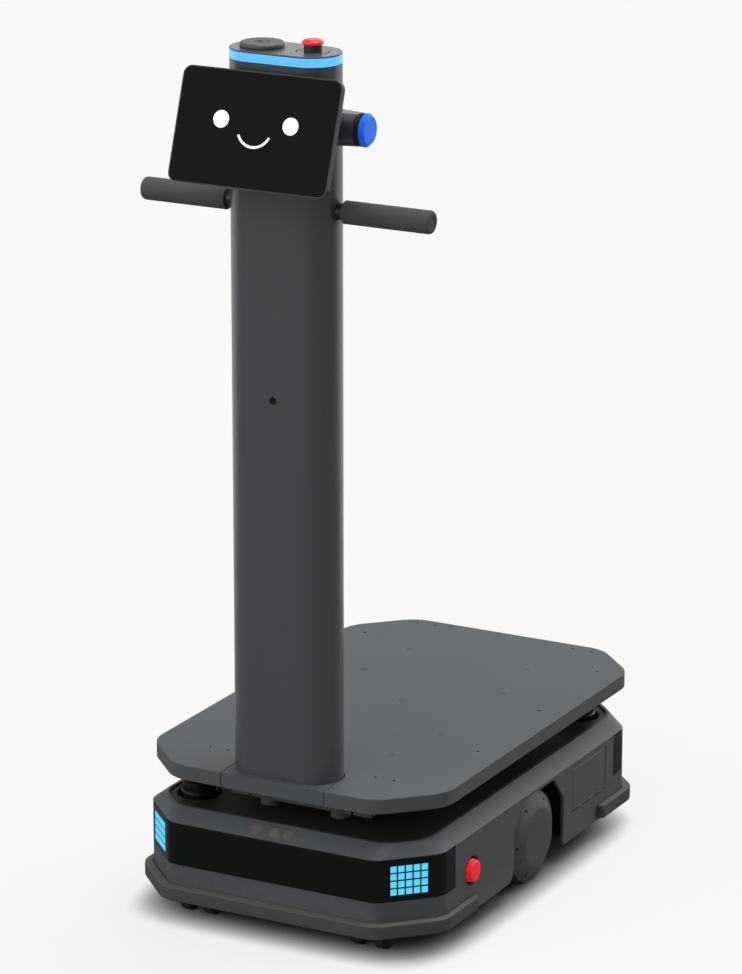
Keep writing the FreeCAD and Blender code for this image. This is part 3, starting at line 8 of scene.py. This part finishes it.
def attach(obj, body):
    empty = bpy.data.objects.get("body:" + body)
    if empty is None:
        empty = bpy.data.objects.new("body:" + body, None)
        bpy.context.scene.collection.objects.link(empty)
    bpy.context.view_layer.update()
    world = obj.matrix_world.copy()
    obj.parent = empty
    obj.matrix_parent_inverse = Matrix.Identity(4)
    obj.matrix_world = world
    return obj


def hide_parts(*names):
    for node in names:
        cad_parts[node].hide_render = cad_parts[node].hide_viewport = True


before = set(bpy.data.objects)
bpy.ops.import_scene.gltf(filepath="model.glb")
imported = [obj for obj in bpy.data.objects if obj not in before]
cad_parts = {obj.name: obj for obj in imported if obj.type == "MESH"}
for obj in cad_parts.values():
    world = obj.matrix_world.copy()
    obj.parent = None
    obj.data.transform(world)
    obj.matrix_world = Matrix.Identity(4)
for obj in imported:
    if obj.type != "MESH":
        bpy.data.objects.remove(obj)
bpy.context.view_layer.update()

# ---------------------------------------------------------------- body shell
# The skirt of the base is one large moulding in dark grey plastic with a fine
# matt grain. It drops over the chassis, its upper band leans in to the cover
# and its edges have a small radius from the mould.


class Socket:
    """A number that a shader works out, so that masks are written as sums."""

    def __init__(self, finish, output):
        self.finish = finish
        self.output = output

    def combine(self, operation, first, second):
        return self.finish.node("ShaderNodeMath", {"operation": operation}, [first, second])

    def __add__(self, other):
        return self.combine("ADD", self, other)

    def __radd__(self, other):
        return self.combine("ADD", other, self)

    def __rsub__(self, other):
        return self.combine("SUBTRACT", other, self)

    def __mul__(self, other):
        return self.combine("MULTIPLY", self, other)

    def __rmul__(self, other):
        return self.combine("MULTIPLY", other, self)

    def __truediv__(self, other):
        return self.combine("DIVIDE", self, other)

    def __pow__(self, other):
        return self.combine("POWER", self, other)

    def above(self, level, softness):
        """0 below a level and 1 over it, with a soft step between."""
        return self.finish.node(
            "ShaderNodeMapRange", {"interpolation_type": "SMOOTHSTEP", "clamp": True},
            {"Value": self, "From Min": level - softness, "From Max": level + softness})


MIX_FIRST, MIX_SECOND, MIX_RESULT = 6, 7, 2  # the colour sockets of a mix node
EDGE_TURN, EDGE_SOFTNESS = 0.06, 0.05  # how far a rounded normal turns from its face


class Finish:
    """One finish of the robot: a principled shader and what varies on it."""

    def __init__(self, name, colour, roughness, **constants):
        self.material = bpy.data.materials.new(name)
        self.material.use_nodes = True
        self.tree = self.material.node_tree
        self.shader = self.tree.nodes["Principled BSDF"]
        self.colour = colour
        self.shader.inputs["Base Color"].default_value = (*colour, 1)
        self.shader.inputs["Roughness"].default_value = roughness
        for socket, value in constants.items():
            self.shader.inputs[socket.replace("_", " ")].default_value = value
        self.material.diffuse_color = (*colour, 1)

    def node(self, kind, settings=None, inputs=(), output=0):
        """Add a shader node and return one of its outputs."""
        made = self.tree.nodes.new(kind)
        for key, value in (settings or {}).items():
            setattr(made, key, value)
        pairs = inputs.items() if isinstance(inputs, dict) else enumerate(inputs)
        for key, value in pairs:
            if isinstance(value, Socket):
                self.tree.links.new(value.output, made.inputs[key])
            else:
                made.inputs[key].default_value = value
        return Socket(self, made.outputs[output])

    def place(self):
        """Where the surface is, in the robot's own frame, in metres."""
        return self.node("ShaderNodeTexCoord", output="Object")

    def height(self):
        return self.node("ShaderNodeSeparateXYZ", {}, {"Vector": self.place()}, "Z")

    def noise(self, scale, detail=3.0, roughness=0.55, stretch=(1, 1, 1)):
        """Even noise from 0 to 1; scale is in patches per metre."""
        moved = self.node("ShaderNodeMapping", {}, {"Vector": self.place(), "Scale": stretch})
        return self.node("ShaderNodeTexNoise", {}, {
            "Vector": moved, "Scale": scale, "Detail": detail, "Roughness": roughness}, "Fac")

    def worn_edge(self, radius):
        """1 along outer edges and 0 on flat faces."""
        rounded = self.node("ShaderNodeBevel", {"samples": 4}, {"Radius": radius}, "Normal")
        plain = self.node("ShaderNodeNewGeometry", output="Normal")
        along = self.node("ShaderNodeVectorMath", {"operation": "DOT_PRODUCT"},
                          [rounded, plain], "Value")
        return (1 - along).above(EDGE_TURN, EDGE_SOFTNESS)

    def mix(self, amount, first, second):
        """The first colour where amount is 0, the second where it is 1."""
        return self.node("ShaderNodeMix", {"data_type": "RGBA"}, {
            "Factor": amount, MIX_FIRST: first, MIX_SECOND: second}, MIX_RESULT)

    def feed(self, value, socket):
        self.tree.links.new(value.output, self.shader.inputs[socket])

    def tint(self, amount, colour):
        """Blend the base colour towards another where amount is 1."""
        base = self.shader.inputs["Base Color"]
        before = Socket(self, base.links[0].from_socket) if base.is_linked else (*self.colour, 1)
        self.feed(self.mix(amount, before, (*colour, 1)), "Base Color")

    def glow(self, amount, dim, bright):
        """Give off light, from a dim colour to a bright one as amount grows."""
        self.feed(self.mix(amount, (*dim, 1), (*bright, 1)), "Emission Color")

    def rough(self, amount):
        self.feed(amount, "Roughness")

    def relief(self, height, distance):
        """Raise the surface by a height map; distance is its depth in metres."""
        self.feed(self.node("ShaderNodeBump", {}, {
            "Height": height, "Distance": distance, "Strength": 1.0}, "Normal"), "Normal")


def linear(red, green, blue):
    """A colour written as 0 to 255 steps, as the renderer's linear light."""
    steps = [value / 255 for value in (red, green, blue)]
    return tuple(v / 12.92 if v < 0.04045 else ((v + 0.055) / 1.055) ** 2.4 for v in steps)


DUST = linear(150, 145, 135)
DUST_LINE, DUST_FADE = 0.05, 0.05  # height that floor dust reaches, in metres


def grained_plastic(name, colour, roughness=0.5, grain=0.00003):
    """Moulded plastic: a fine grain, faint blotches, dust low down, pale edges."""
    made = Finish(name, colour, roughness)
    blotch = made.noise(9, 4)
    low_down = 1 - made.height().above(DUST_LINE, DUST_FADE)
    dust = low_down * made.noise(60, 5).above(0.5, 0.2)
    lighter = [min(1, c * 1.22 + 0.002) for c in colour]
    pale = [min(1, c * 1.7 + 0.02) for c in colour]
    made.tint(blotch.above(0.5, 0.25) * 0.5, lighter)
    made.tint(made.worn_edge(0.0012) * made.noise(90, 3).above(0.45, 0.2) * 0.35, pale)
    made.tint(dust * 0.18, DUST)
    made.rough(roughness - 0.06 + blotch * 0.12 + dust * 0.15)
    made.relief(made.noise(1500, 2, 0.7), grain)
    return made


WELD = 1e-6  # corners closer than this, in metres, are one corner
FLAT_ANGLE, SHARP_ANGLE, SMOOTH_ANGLE = 0.1, 30, 32  # in degrees


def merged_copy(node):
    """A bmesh of one CAD node with its loose triangles joined and flats cleared."""
    shape = bmesh.new()
    shape.from_mesh(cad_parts[node].data)
    bmesh.ops.remove_doubles(shape, verts=shape.verts, dist=WELD)
    bmesh.ops.dissolve_limit(shape, angle_limit=math.radians(FLAT_ANGLE), verts=shape.verts,
                             edges=shape.edges, use_dissolve_boundaries=False)
    return shape


def sharp_edges(shape):
    limit = math.radians(SHARP_ANGLE)
    return [e for e in shape.edges if len(e.link_faces) == 2 and e.calc_face_angle(0) > limit]


def finished(shape, name, finish, body, replaced=()):
    """Turn a bmesh into a finished piece that rides on its body."""
    mesh = bpy.data.meshes.new(name)
    shape.to_mesh(mesh)
    shape.free()
    mesh.polygons.foreach_set("use_smooth", [True] * len(mesh.polygons))
    mesh.set_sharp_from_angle(angle=math.radians(SMOOTH_ANGLE))
    piece = bpy.data.objects.new(name, mesh)
    bpy.context.scene.collection.objects.link(piece)
    mesh.materials.append(finish.material)
    weights = piece.modifiers.new("even_normals", "WEIGHTED_NORMAL")
    weights.keep_sharp = True
    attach(piece, body)
    if replaced:
        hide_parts(*replaced)
    return piece


def dressed(node, finish, body, radius, segments=2):
    """The CAD node itself with its sharp edges rounded and its finish put on."""
    shape = merged_copy(node)
    if radius:
        bmesh.ops.bevel(shape, geom=sharp_edges(shape), offset=radius,
                        offset_type="OFFSET", segments=segments, profile=0.5,
                        affect="EDGES", clamp_overlap=True, material=-1)
    return finished(shape, f"{node}_finished", finish, body, [node])


shell_plastic = grained_plastic("shell_plastic", linear(74, 78, 82), 0.52)
dressed("body_shell", shell_plastic, "chassis", 0.0012, 3)
dressed("battery_door", shell_plastic, "battery_door", 0.0006)

# -------------------------------------------------------------- light panels
# Smoked gloss strips let in flush round the front and the rear. Behind each
# front corner sits a block of light cells that shines through as blue squares.

smoked_gloss = Finish("smoked_gloss", linear(20, 21, 22), 0.2, Specular_IOR_Level=0.15)
smoked_gloss.rough(0.17 + smoked_gloss.noise(14, 3) * 0.08)
smoked_gloss.relief(smoked_gloss.noise(25, 1), 0.00005)
for end in ("front", "rear"):
    dressed(f"{end}_light_panel", smoked_gloss, "chassis", 0.0005)

cell_glow = Finish("cell_glow", linear(14, 40, 52), 0.45, Emission_Strength=1.0)
cell_glow.glow(cell_glow.noise(350, 2), linear(66, 196, 248), linear(110, 226, 255))
dressed("led_matrices", cell_glow, "chassis", 0)

# ------------------------------------------------------------------- bumpers
# Soft black rubber strips, pressed on round the foot of each end. Their faces
# scuff, and their upper ledge is painted lighter: a painted highlight of the
# light from above.

LEDGE_HEIGHT = 0.0575  # just under the strips' upper ledge
bumper_rubber = Finish("bumper_rubber", linear(72, 72, 71), 0.78)
scuffs = bumper_rubber.noise(70, 6, 0.7, (0.35, 0.35, 2.5))
# Painted highlight: the upper ledge is tinted lighter, as if lit from above.
ledge_highlight = bumper_rubber.height().above(LEDGE_HEIGHT, 0.0006)
bumper_rubber.tint(scuffs.above(0.62, 0.08) * 0.25, linear(108, 107, 104))
bumper_rubber.tint(ledge_highlight * 0.35, linear(120, 119, 115))
bumper_rubber.rough(0.72 + scuffs * 0.16)
bumper_rubber.relief(bumper_rubber.noise(1100, 3, 0.7), 0.00005)
for end in ("front", "rear"):
    dressed(f"bumper_{end}", bumper_rubber, "chassis", 0.0025, 3)

# --------------------------------------------------------------- depth camera
# A camera bar behind a pill-shaped pane in the front band. The pane is tinted
# acrylic; three lenses show faintly through it.

LENS_RADIUS, LENS_BLUR = 0.0078, 0.0012
LENS_Y, LENS_Z = -0.3533, 0.1652
tinted_pane = Finish("tinted_pane", linear(88, 86, 84), 0.3, Specular_IOR_Level=0.4)
for x, colour in ((-0.0318, (103, 101, 94)), (-0.0008, (107, 104, 101)), (0.0222, (98, 98, 96))):
    lens = Vector((x, LENS_Y, LENS_Z))
    away = tinted_pane.node("ShaderNodeVectorMath", {"operation": "DISTANCE"},
                            [tinted_pane.place(), lens], "Value")
    tinted_pane.tint(1 - away.above(LENS_RADIUS, LENS_BLUR), linear(*colour))
tinted_pane.rough(0.27 + tinted_pane.noise(30, 2) * 0.06)
dressed("depth_camera_window", tinted_pane, "chassis", 0.0005)
black_plastic = grained_plastic("black_plastic", linear(38, 39, 41), 0.48)
dressed("depth_camera", black_plastic, "chassis", 0.0004, 1)

# ------------------------------------------------- cover, scanners and chassis
# The lid, the scanners in their wells, the control box and the battery are
# black mouldings; the welded floor under them is powder-coated steel.

for name in ("control_box", "battery_pack"):
    dressed(name, black_plastic, "chassis", 0.001)
cover_plastic = grained_plastic("cover_plastic", linear(34, 35, 37), 0.6)
dressed("top_cover", cover_plastic, "chassis", 0.0008)
scanner_gloss = Finish("scanner_gloss", linear(18, 17, 17), 0.3, Specular_IOR_Level=0.3)
scanner_gloss.rough(0.26 + scanner_gloss.noise(40, 2) * 0.08)
for end in ("front", "rear"):
    dressed(f"lidar_{end}", scanner_gloss, "chassis", 0.0006)

powder_coat = Finish("powder_coat", linear(50, 51, 53), 0.55)
powder_coat.tint(powder_coat.worn_edge(0.0015) * powder_coat.noise(60, 4).above(0.55, 0.1) * 0.5,
                 linear(120, 119, 116))
powder_coat.rough(0.48 + powder_coat.noise(25, 4) * 0.16)
powder_coat.relief(powder_coat.noise(420, 2), 0.00008)
dressed("chassis_tray", powder_coat, "chassis", 0.0008)
dressed("castor_plates", powder_coat, "chassis", 0.0006)

# -------------------------------------------------------------- drive wheels
# Hub motors with a rubber tyre each, on cast swing arms with folded rubber
# springs. A dished plastic cover is screwed on the outside.

tyre_rubber = Finish("tyre_rubber", linear(34, 34, 34), 0.85)
tyre_dust = tyre_rubber.noise(45, 6, 0.7)
tyre_rubber.tint(tyre_dust.above(0.55, 0.15) * 0.3, linear(92, 88, 82))
tyre_rubber.rough(0.8 + tyre_dust * 0.15)
tyre_rubber.relief(tyre_rubber.noise(900, 3), 0.0001)
turned_metal = Finish("turned_metal", linear(120, 121, 123), 0.4, Metallic=0.9)
turned_metal.rough(0.33 + turned_metal.noise(160, 3, 0.6, (6, 1, 1)) * 0.2)
cast_iron = Finish("cast_iron", linear(58, 58, 60), 0.62)
cast_iron.rough(0.55 + cast_iron.noise(80, 4) * 0.2)
cast_iron.relief(cast_iron.noise(500, 4), 0.00015)
wheel_plastic = grained_plastic("wheel_plastic", linear(70, 71, 72), 0.5)
for side in ("right", "left"):
    dressed(f"suspension_arm_{side}", cast_iron, f"suspension_arm_{side}", 0.0012)
    dressed(f"drive_hub_{side}", turned_metal, f"drive_wheel_{side}", 0.0006)
    dressed(f"drive_tyre_{side}", tyre_rubber, f"drive_wheel_{side}", 0)
    dressed(f"wheel_cover_{side}", wheel_plastic, f"drive_wheel_{side}", 0)
    spring_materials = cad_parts[f"suspension_spring_{side}"].data.materials
    spring_materials.clear()
    spring_materials.append(tyre_rubber.material)

# ------------------------------------------------------------------- castors
# Twin rubber wheels roll in a moulded nylon fork. Each fork swivels on a steel
# plate that is fixed under the floor, one in each corner.

castor_nylon = grained_plastic("castor_nylon", linear(44, 45, 46), 0.5)
for end in ("front", "rear"):
    for side in ("right", "left"):
        where = f"{end}_{side}"
        dressed(f"castor_fork_{where}", castor_nylon, f"castor_fork_{where}",
                0.0008)
        dressed(f"castor_wheels_{where}", tyre_rubber, f"castor_wheels_{where}",
                0.0008)

# -------------------------------------------------------- deck and mast foot
# The deck is an aluminium plate with a deep rim, powder-coated dark grey like
# the welded frame that carries it. The mast's foot is let into its front edge
# and the bolts' heads lie flush.

deck_paint = Finish("deck_paint", linear(77, 81, 84), 0.5)
deck_blotch = deck_paint.noise(5, 5)
deck_rub = deck_paint.noise(22, 6, 0.7, (1, 0.25, 1))
deck_paint.tint(deck_blotch.above(0.5, 0.3) * 0.35, linear(87, 91, 94))
deck_paint.tint(deck_rub.above(0.66, 0.06) * 0.12, linear(118, 121, 123))
deck_paint.tint(deck_paint.worn_edge(0.001) * deck_paint.noise(80, 4).above(0.5, 0.15) * 0.35,
                linear(140, 141, 143))
deck_paint.rough(0.58 + deck_blotch * 0.08 + deck_rub * 0.08)
deck_paint.relief(deck_paint.noise(700, 2, 0.6), 0.00004)
dressed("deck_plate", deck_paint, "chassis", 0.0005)
dressed("mast_base", deck_paint, "chassis", 0.0008)
dressed("deck_frame", deck_paint, "chassis", 0.001)
dark_steel = Finish("dark_steel", linear(70, 71, 73), 0.4, Metallic=0.8)
dark_steel.rough(0.34 + dark_steel.noise(140, 3) * 0.16)
dressed("deck_bolts", dark_steel, "chassis", 0.0004)

# ---------------------------------------------------------------------- mast
# One aluminium extrusion with round ends, coated in the same dark grey but
# smoother, with a small camera in its front face.

mast_paint = Finish("mast_paint", linear(66, 70, 74), 0.3, Specular_IOR_Level=0.9)
mast_streak = mast_paint.noise(30, 4, 0.6, (1, 1, 0.04))
mast_blotch = mast_paint.noise(4, 3)
mast_paint.tint(mast_blotch.above(0.5, 0.3) * 0.3, linear(71, 75, 79))
mast_paint.rough(0.27 + mast_streak * 0.05 + mast_blotch * 0.03)
mast_paint.relief(mast_paint.noise(900, 2, 0.6), 0.00002)
dressed("mast_tube", mast_paint, "chassis", 0.0004)
dressed("mast_camera", scanner_gloss, "chassis", 0.0002, 1)

# -------------------------------------------------------- light band and cap
# A clear ring lit from inside closes the extrusion. The grey cap on it carries
# the sensor's round cover and the top stop button, with printed marks round it.

MAST_Y = -0.30673
CAP_TOP, COVER_TOP = 1.335, 1.342  # heights of the cap and of the sensor's cover
COVER_X, LENS_X, STOP_X = -0.0383, -0.0413, 0.044
RIB_WAVE = 2600  # radians per metre, which is a rib every 2.4 mm
PRINT_HEIGHT = 0.0001
PINHOLE = 0.0001  # a ring with a hole this small is a disc
band_glow = Finish("band_glow", linear(20, 40, 56), 0.4, Emission_Strength=1.0)
band_glow.glow(band_glow.noise(18, 2), linear(80, 186, 250), linear(108, 208, 255))
dressed("light_band", band_glow, "chassis", 0.0003, 1)
cap_plastic = grained_plastic("cap_plastic", linear(84, 86, 89), 0.24, 0.000005)
dressed("mast_cap", cap_plastic, "chassis", 0)
ribbed_plastic = grained_plastic("ribbed_plastic", linear(76, 77, 79), 0.45)
from_axis = ribbed_plastic.node("ShaderNodeVectorMath", {"operation": "DISTANCE"},
                                [ribbed_plastic.place(), (COVER_X, MAST_Y, COVER_TOP)], "Value")
ribs = ribbed_plastic.node("ShaderNodeMath", {"operation": "SINE"}, [from_axis * RIB_WAVE])
ribbed_plastic.relief(ribs * 0.5 + 0.5, 0.00008)
dressed("sensor_cover", ribbed_plastic, "chassis", 0.0004)


def add_ring(name, finish, centre, tilt, inner, outer, spans):
    """Thin flat ring sectors, printed or let into a surface; angles in degrees."""
    shape = bmesh.new()
    for start, end in spans:
        steps = max(6, int((end - start) / 3))
        rows = []
        for step in range(steps + 1):
            angle = math.radians(start + (end - start) * step / steps)
            way = Vector((math.cos(angle), math.sin(angle), 0))
            rows.append([shape.verts.new(way * radius + Vector((0, 0, z)))
                         for z in (0, PRINT_HEIGHT) for radius in (inner, outer)])
        for a, b in zip(rows, rows[1:]):
            for low, high in ((0, 1), (1, 3), (3, 2), (2, 0)):
                shape.faces.new((a[low], a[high], b[high], b[low]))
        if end - start < 360:
            for row in (rows[0], rows[-1]):
                shape.faces.new((row[0], row[1], row[3], row[2]))
    bmesh.ops.remove_doubles(shape, verts=shape.verts, dist=1e-7)
    bmesh.ops.recalc_face_normals(shape, faces=shape.faces)
    turn = Matrix.Rotation(math.radians(tilt), 4, "X")
    bmesh.ops.transform(shape, matrix=Matrix.Translation(centre) @ turn, verts=shape.verts)
    return finished(shape, name, finish, "chassis")


dark_print = Finish("dark_print", linear(30, 30, 32), 0.6, Specular_IOR_Level=0.05)
dark_print.rough(0.45 + dark_print.noise(200, 3) * 0.1)
add_ring("stop_marks", dark_print, (STOP_X, MAST_Y, CAP_TOP), 0, 0.0225, 0.0245,
         [(-38, 38), (142, 218)])
add_ring("sensor_lens", dark_print, (LENS_X, MAST_Y, COVER_TOP),
         0, PINHOLE, 0.0042, [(0, 360)])
add_ring("sensor_mark", dark_print, (COVER_X, MAST_Y, COVER_TOP),
         0, 0.0098, 0.0112, [(0, 360)])

# ------------------------------------------------- stop buttons and call button
# Red mushroom heads on steel stems in black collars: one on the cap, one in a
# cup on each side of the base. The blue call button ends the mast's side arm.
# Their bright glossy plastic is no lamp, but is given a weak glow, painted
# light that keeps its colour strong.

# The emission is painted light: the red heads are no lamp.
stop_red = Finish("stop_red", linear(252, 30, 34), 0.3, Specular_IOR_Level=0.5,
                  Emission_Color=(*linear(255, 50, 54), 1), Emission_Strength=0.22)
stop_red.tint(stop_red.noise(60, 3).above(0.5, 0.3) * 0.3, linear(255, 44, 46))
stop_red.rough(0.22 + stop_red.noise(120, 3) * 0.1)
for name in ("top", "right", "left"):
    dressed(f"stop_head_{name}", stop_red, f"stop_head_{name}", 0)
    dressed(f"stop_stem_{name}", dark_steel, f"stop_stem_{name}", 0.0003, 1)
dressed("stop_collar_top", black_plastic, "chassis", 0.0004)
dressed("side_stop_cups", black_plastic, "chassis", 0.0004)
# The emission is painted light: the blue button is no lamp.
call_blue = Finish("call_blue", linear(30, 122, 255), 0.34, Specular_IOR_Level=0.3,
                   Emission_Color=(*linear(20, 90, 255), 1), Emission_Strength=0.2)
call_blue.tint(call_blue.noise(60, 3).above(0.5, 0.3) * 0.3, linear(48, 136, 255))
call_blue.rough(0.28 + call_blue.noise(120, 3) * 0.12)
dressed("call_button", call_blue, "call_button", 0.0004)
dressed("call_button_bezel", black_plastic, "chassis", 0.0004)
dressed("side_arm", cap_plastic, "chassis", 0)

# ------------------------------------------------------------------ push bar
# A steel tube passes through the mast from side to side. A foam rubber grip is
# pushed on each end and stops short of the mast.

dressed("handlebar_tube", dark_steel, "chassis", 0.0004, 1)
grip_foam = Finish("grip_foam", linear(80, 80, 79), 0.8)
grip_pores = grip_foam.noise(1300, 4, 0.75)
grip_foam.tint(grip_foam.noise(35, 4).above(0.5, 0.2) * 0.3, linear(84, 84, 82))
grip_foam.rough(0.74 + grip_pores * 0.14)
grip_foam.relief(grip_pores, 0.00012)
for side in ("right", "left"):
    dressed(f"grip_{side}", grip_foam, "chassis", 0.0003, 1)

# -------------------------------------------------------------------- screen
# A touch screen in a thin black housing, leaning back on a wedge that is
# fixed to the mast. Two discs and an arc are the plain picture on its glass.

dressed("tablet_bracket", black_plastic, "chassis", 0.001)
housing_plastic = grained_plastic("housing_plastic", linear(42, 43, 45), 0.45, 0.00001)
dressed("tablet_housing", housing_plastic, "chassis", 0.0005)
screen_glass = Finish("screen_glass", linear(12, 12, 13), 0.2, Specular_IOR_Level=0.06)
screen_glass.rough(0.19 + screen_glass.noise(12, 4).above(0.55, 0.2) * 0.06)
dressed("tablet_glass", screen_glass, "chassis", 0.0002, 1)
screen_white = Finish("screen_white", linear(200, 200, 200), 0.5, Emission_Strength=0.9)
screen_white.glow(screen_white.noise(600, 1), (0.93, 0.93, 0.93), (1, 1, 1))
SCREEN = Vector((0, -0.39833, 1.233))  # the middle of the glass
SCREEN_TILT = 71  # degrees up from lying flat
screen_up = Matrix.Rotation(math.radians(SCREEN_TILT), 3, "X") @ Vector((0, 1, 0))
for name, x, up, inner, outer, spans in (
        ("screen_eye_left", -0.056, 0.012, PINHOLE, 0.0125, [(0, 360)]),
        ("screen_eye_right", 0.056, 0.012, PINHOLE, 0.0125, [(0, 360)]),
        ("screen_smile", 0.0, 0.004, 0.0255, 0.0290, [(205, 335)])):
    spot = SCREEN + Vector((x, 0, 0)) + screen_up * up
    add_ring(name, screen_white, spot, SCREEN_TILT, inner, outer, spans)

# --------------------------------------------------------- floor, light, camera
# A pale studio. Broad lamps stand behind, in front and at the front left, weaker
# ones at the right rear and left rear, and one hangs overhead. The floor glows
# where the camera sees it away from the base, which shapes the shadow's edge.

BACKDROP = 0.94
ROOM_LIGHT = 0.1
LAMPS = ((1.5, -45, 12), (2.4, 172, 12), (1.5, -5, 30), (0.8, 120, 8),
         (0.5, -105, 3))  # strength, azimuth and elevation in degrees
LAMP_EDGE, LAMP_FADE = 0.89, 0.35
FLOOR_RADIUS = 60
# The floor's grey as it lies, as the finishes mirror it, and as the camera sees it
FLOOR_GREY, FLOOR_MIRRORED, FLOOR_SEEN = 0.2, 0.8, 0.155
SHADE_HALF_WIDTH, SHADE_HALF_LENGTH = 0.275, 0.385  # outline with no glow inside


def heading(azimuth, elevation=0):
    """A direction; azimuth 0 is the front of the robot, positive to its right."""
    a, e = math.radians(azimuth), math.radians(elevation)
    return Vector((math.sin(a) * math.cos(e), -math.cos(a) * math.cos(e), math.sin(e)))


floor_shape = bmesh.new()
bmesh.ops.create_circle(floor_shape, cap_ends=True, segments=64, radius=FLOOR_RADIUS)
floor_mesh = bpy.data.meshes.new("floor")
floor_shape.to_mesh(floor_mesh)
floor_shape.free()
floor = bpy.data.objects.new("floor", floor_mesh)
floor_paint = Finish("floor_paint", (FLOOR_GREY,) * 3, 0.9, Specular_IOR_Level=0.0,
                     Emission_Strength=0.76)
behind = floor_paint.node("ShaderNodeVectorMath", {"operation": "DOT_PRODUCT"},
                          [floor_paint.place(), heading(208)], "Value")
mirrored = floor_paint.node("ShaderNodeLightPath", output="Is Glossy Ray")
floor_paint.tint(mirrored * behind.above(0.9, 0.8), (FLOOR_MIRRORED,) * 3)
seen = floor_paint.node("ShaderNodeLightPath", output="Is Camera Ray")
floor_paint.tint(seen, (FLOOR_SEEN,) * 3)
across, along = (floor_paint.node("ShaderNodeSeparateXYZ", {}, {
    "Vector": floor_paint.place()}, axis) for axis in "XY")
outward = ((across * across / SHADE_HALF_WIDTH ** 2) ** 3
           + (along * along / SHADE_HALF_LENGTH ** 2) ** 3)
floor_paint.glow(seen * outward.above(0.8, 0.6), (0, 0, 0), (1, 1, 1))
floor_mesh.materials.append(floor_paint.material)
bpy.context.scene.collection.objects.link(floor)


class Studio(Finish):
    """The world's light: broad soft lamps in a dim room."""

    def __init__(self):
        world = bpy.data.worlds.new("studio")
        bpy.context.scene.world = world
        world.use_nodes = True
        self.tree = world.node_tree
        sky = self.tree.nodes["Background"]
        sky.inputs["Color"].default_value = (1, 1, 1, 1)
        light = sum((strength * self.lamp(azimuth, elevation)
                     for strength, azimuth, elevation in LAMPS), ROOM_LIGHT)
        seen = self.node("ShaderNodeLightPath", output="Is Camera Ray")
        self.tree.links.new((seen * BACKDROP + (1 - seen) * light).output, sky.inputs["Strength"])

    def lamp(self, azimuth, elevation):
        """1 towards the middle of a broad lamp, fading out to the sides."""
        way = self.node("ShaderNodeTexCoord", output="Generated")
        along = self.node("ShaderNodeVectorMath", {"operation": "DOT_PRODUCT"},
                          [way, heading(azimuth, elevation)], "Value")
        return along.above(LAMP_EDGE, LAMP_FADE)


Studio()

lamp = bpy.data.lights.new("overhead", "SUN")
lamp.energy = 1.8
lamp.angle = math.radians(40)
sun = bpy.data.objects.new("overhead", lamp)
bpy.context.scene.collection.objects.link(sun)
sun.rotation_mode = "QUATERNION"
sun.rotation_quaternion = heading(140, 78).to_track_quat("Z", "Y")

camera_data = bpy.data.cameras.new("camera")
camera = bpy.data.objects.new("camera", camera_data)
bpy.context.scene.collection.objects.link(camera)
bpy.context.scene.camera = camera
SENSOR_MM, LENS_MM = 36, 169.63613963039014
camera_data.sensor_fit = "AUTO"
camera_data.sensor_width = SENSOR_MM
camera_data.lens = LENS_MM
camera_data.clip_end = 200
camera.location = (3.1303, -5.9010, 2.5928)
camera.rotation_mode = "QUATERNION"
camera.rotation_quaternion = heading(28.15, 16.56).to_track_quat("Z", "Y")
bpy.context.scene.view_settings.view_transform = "Standard"
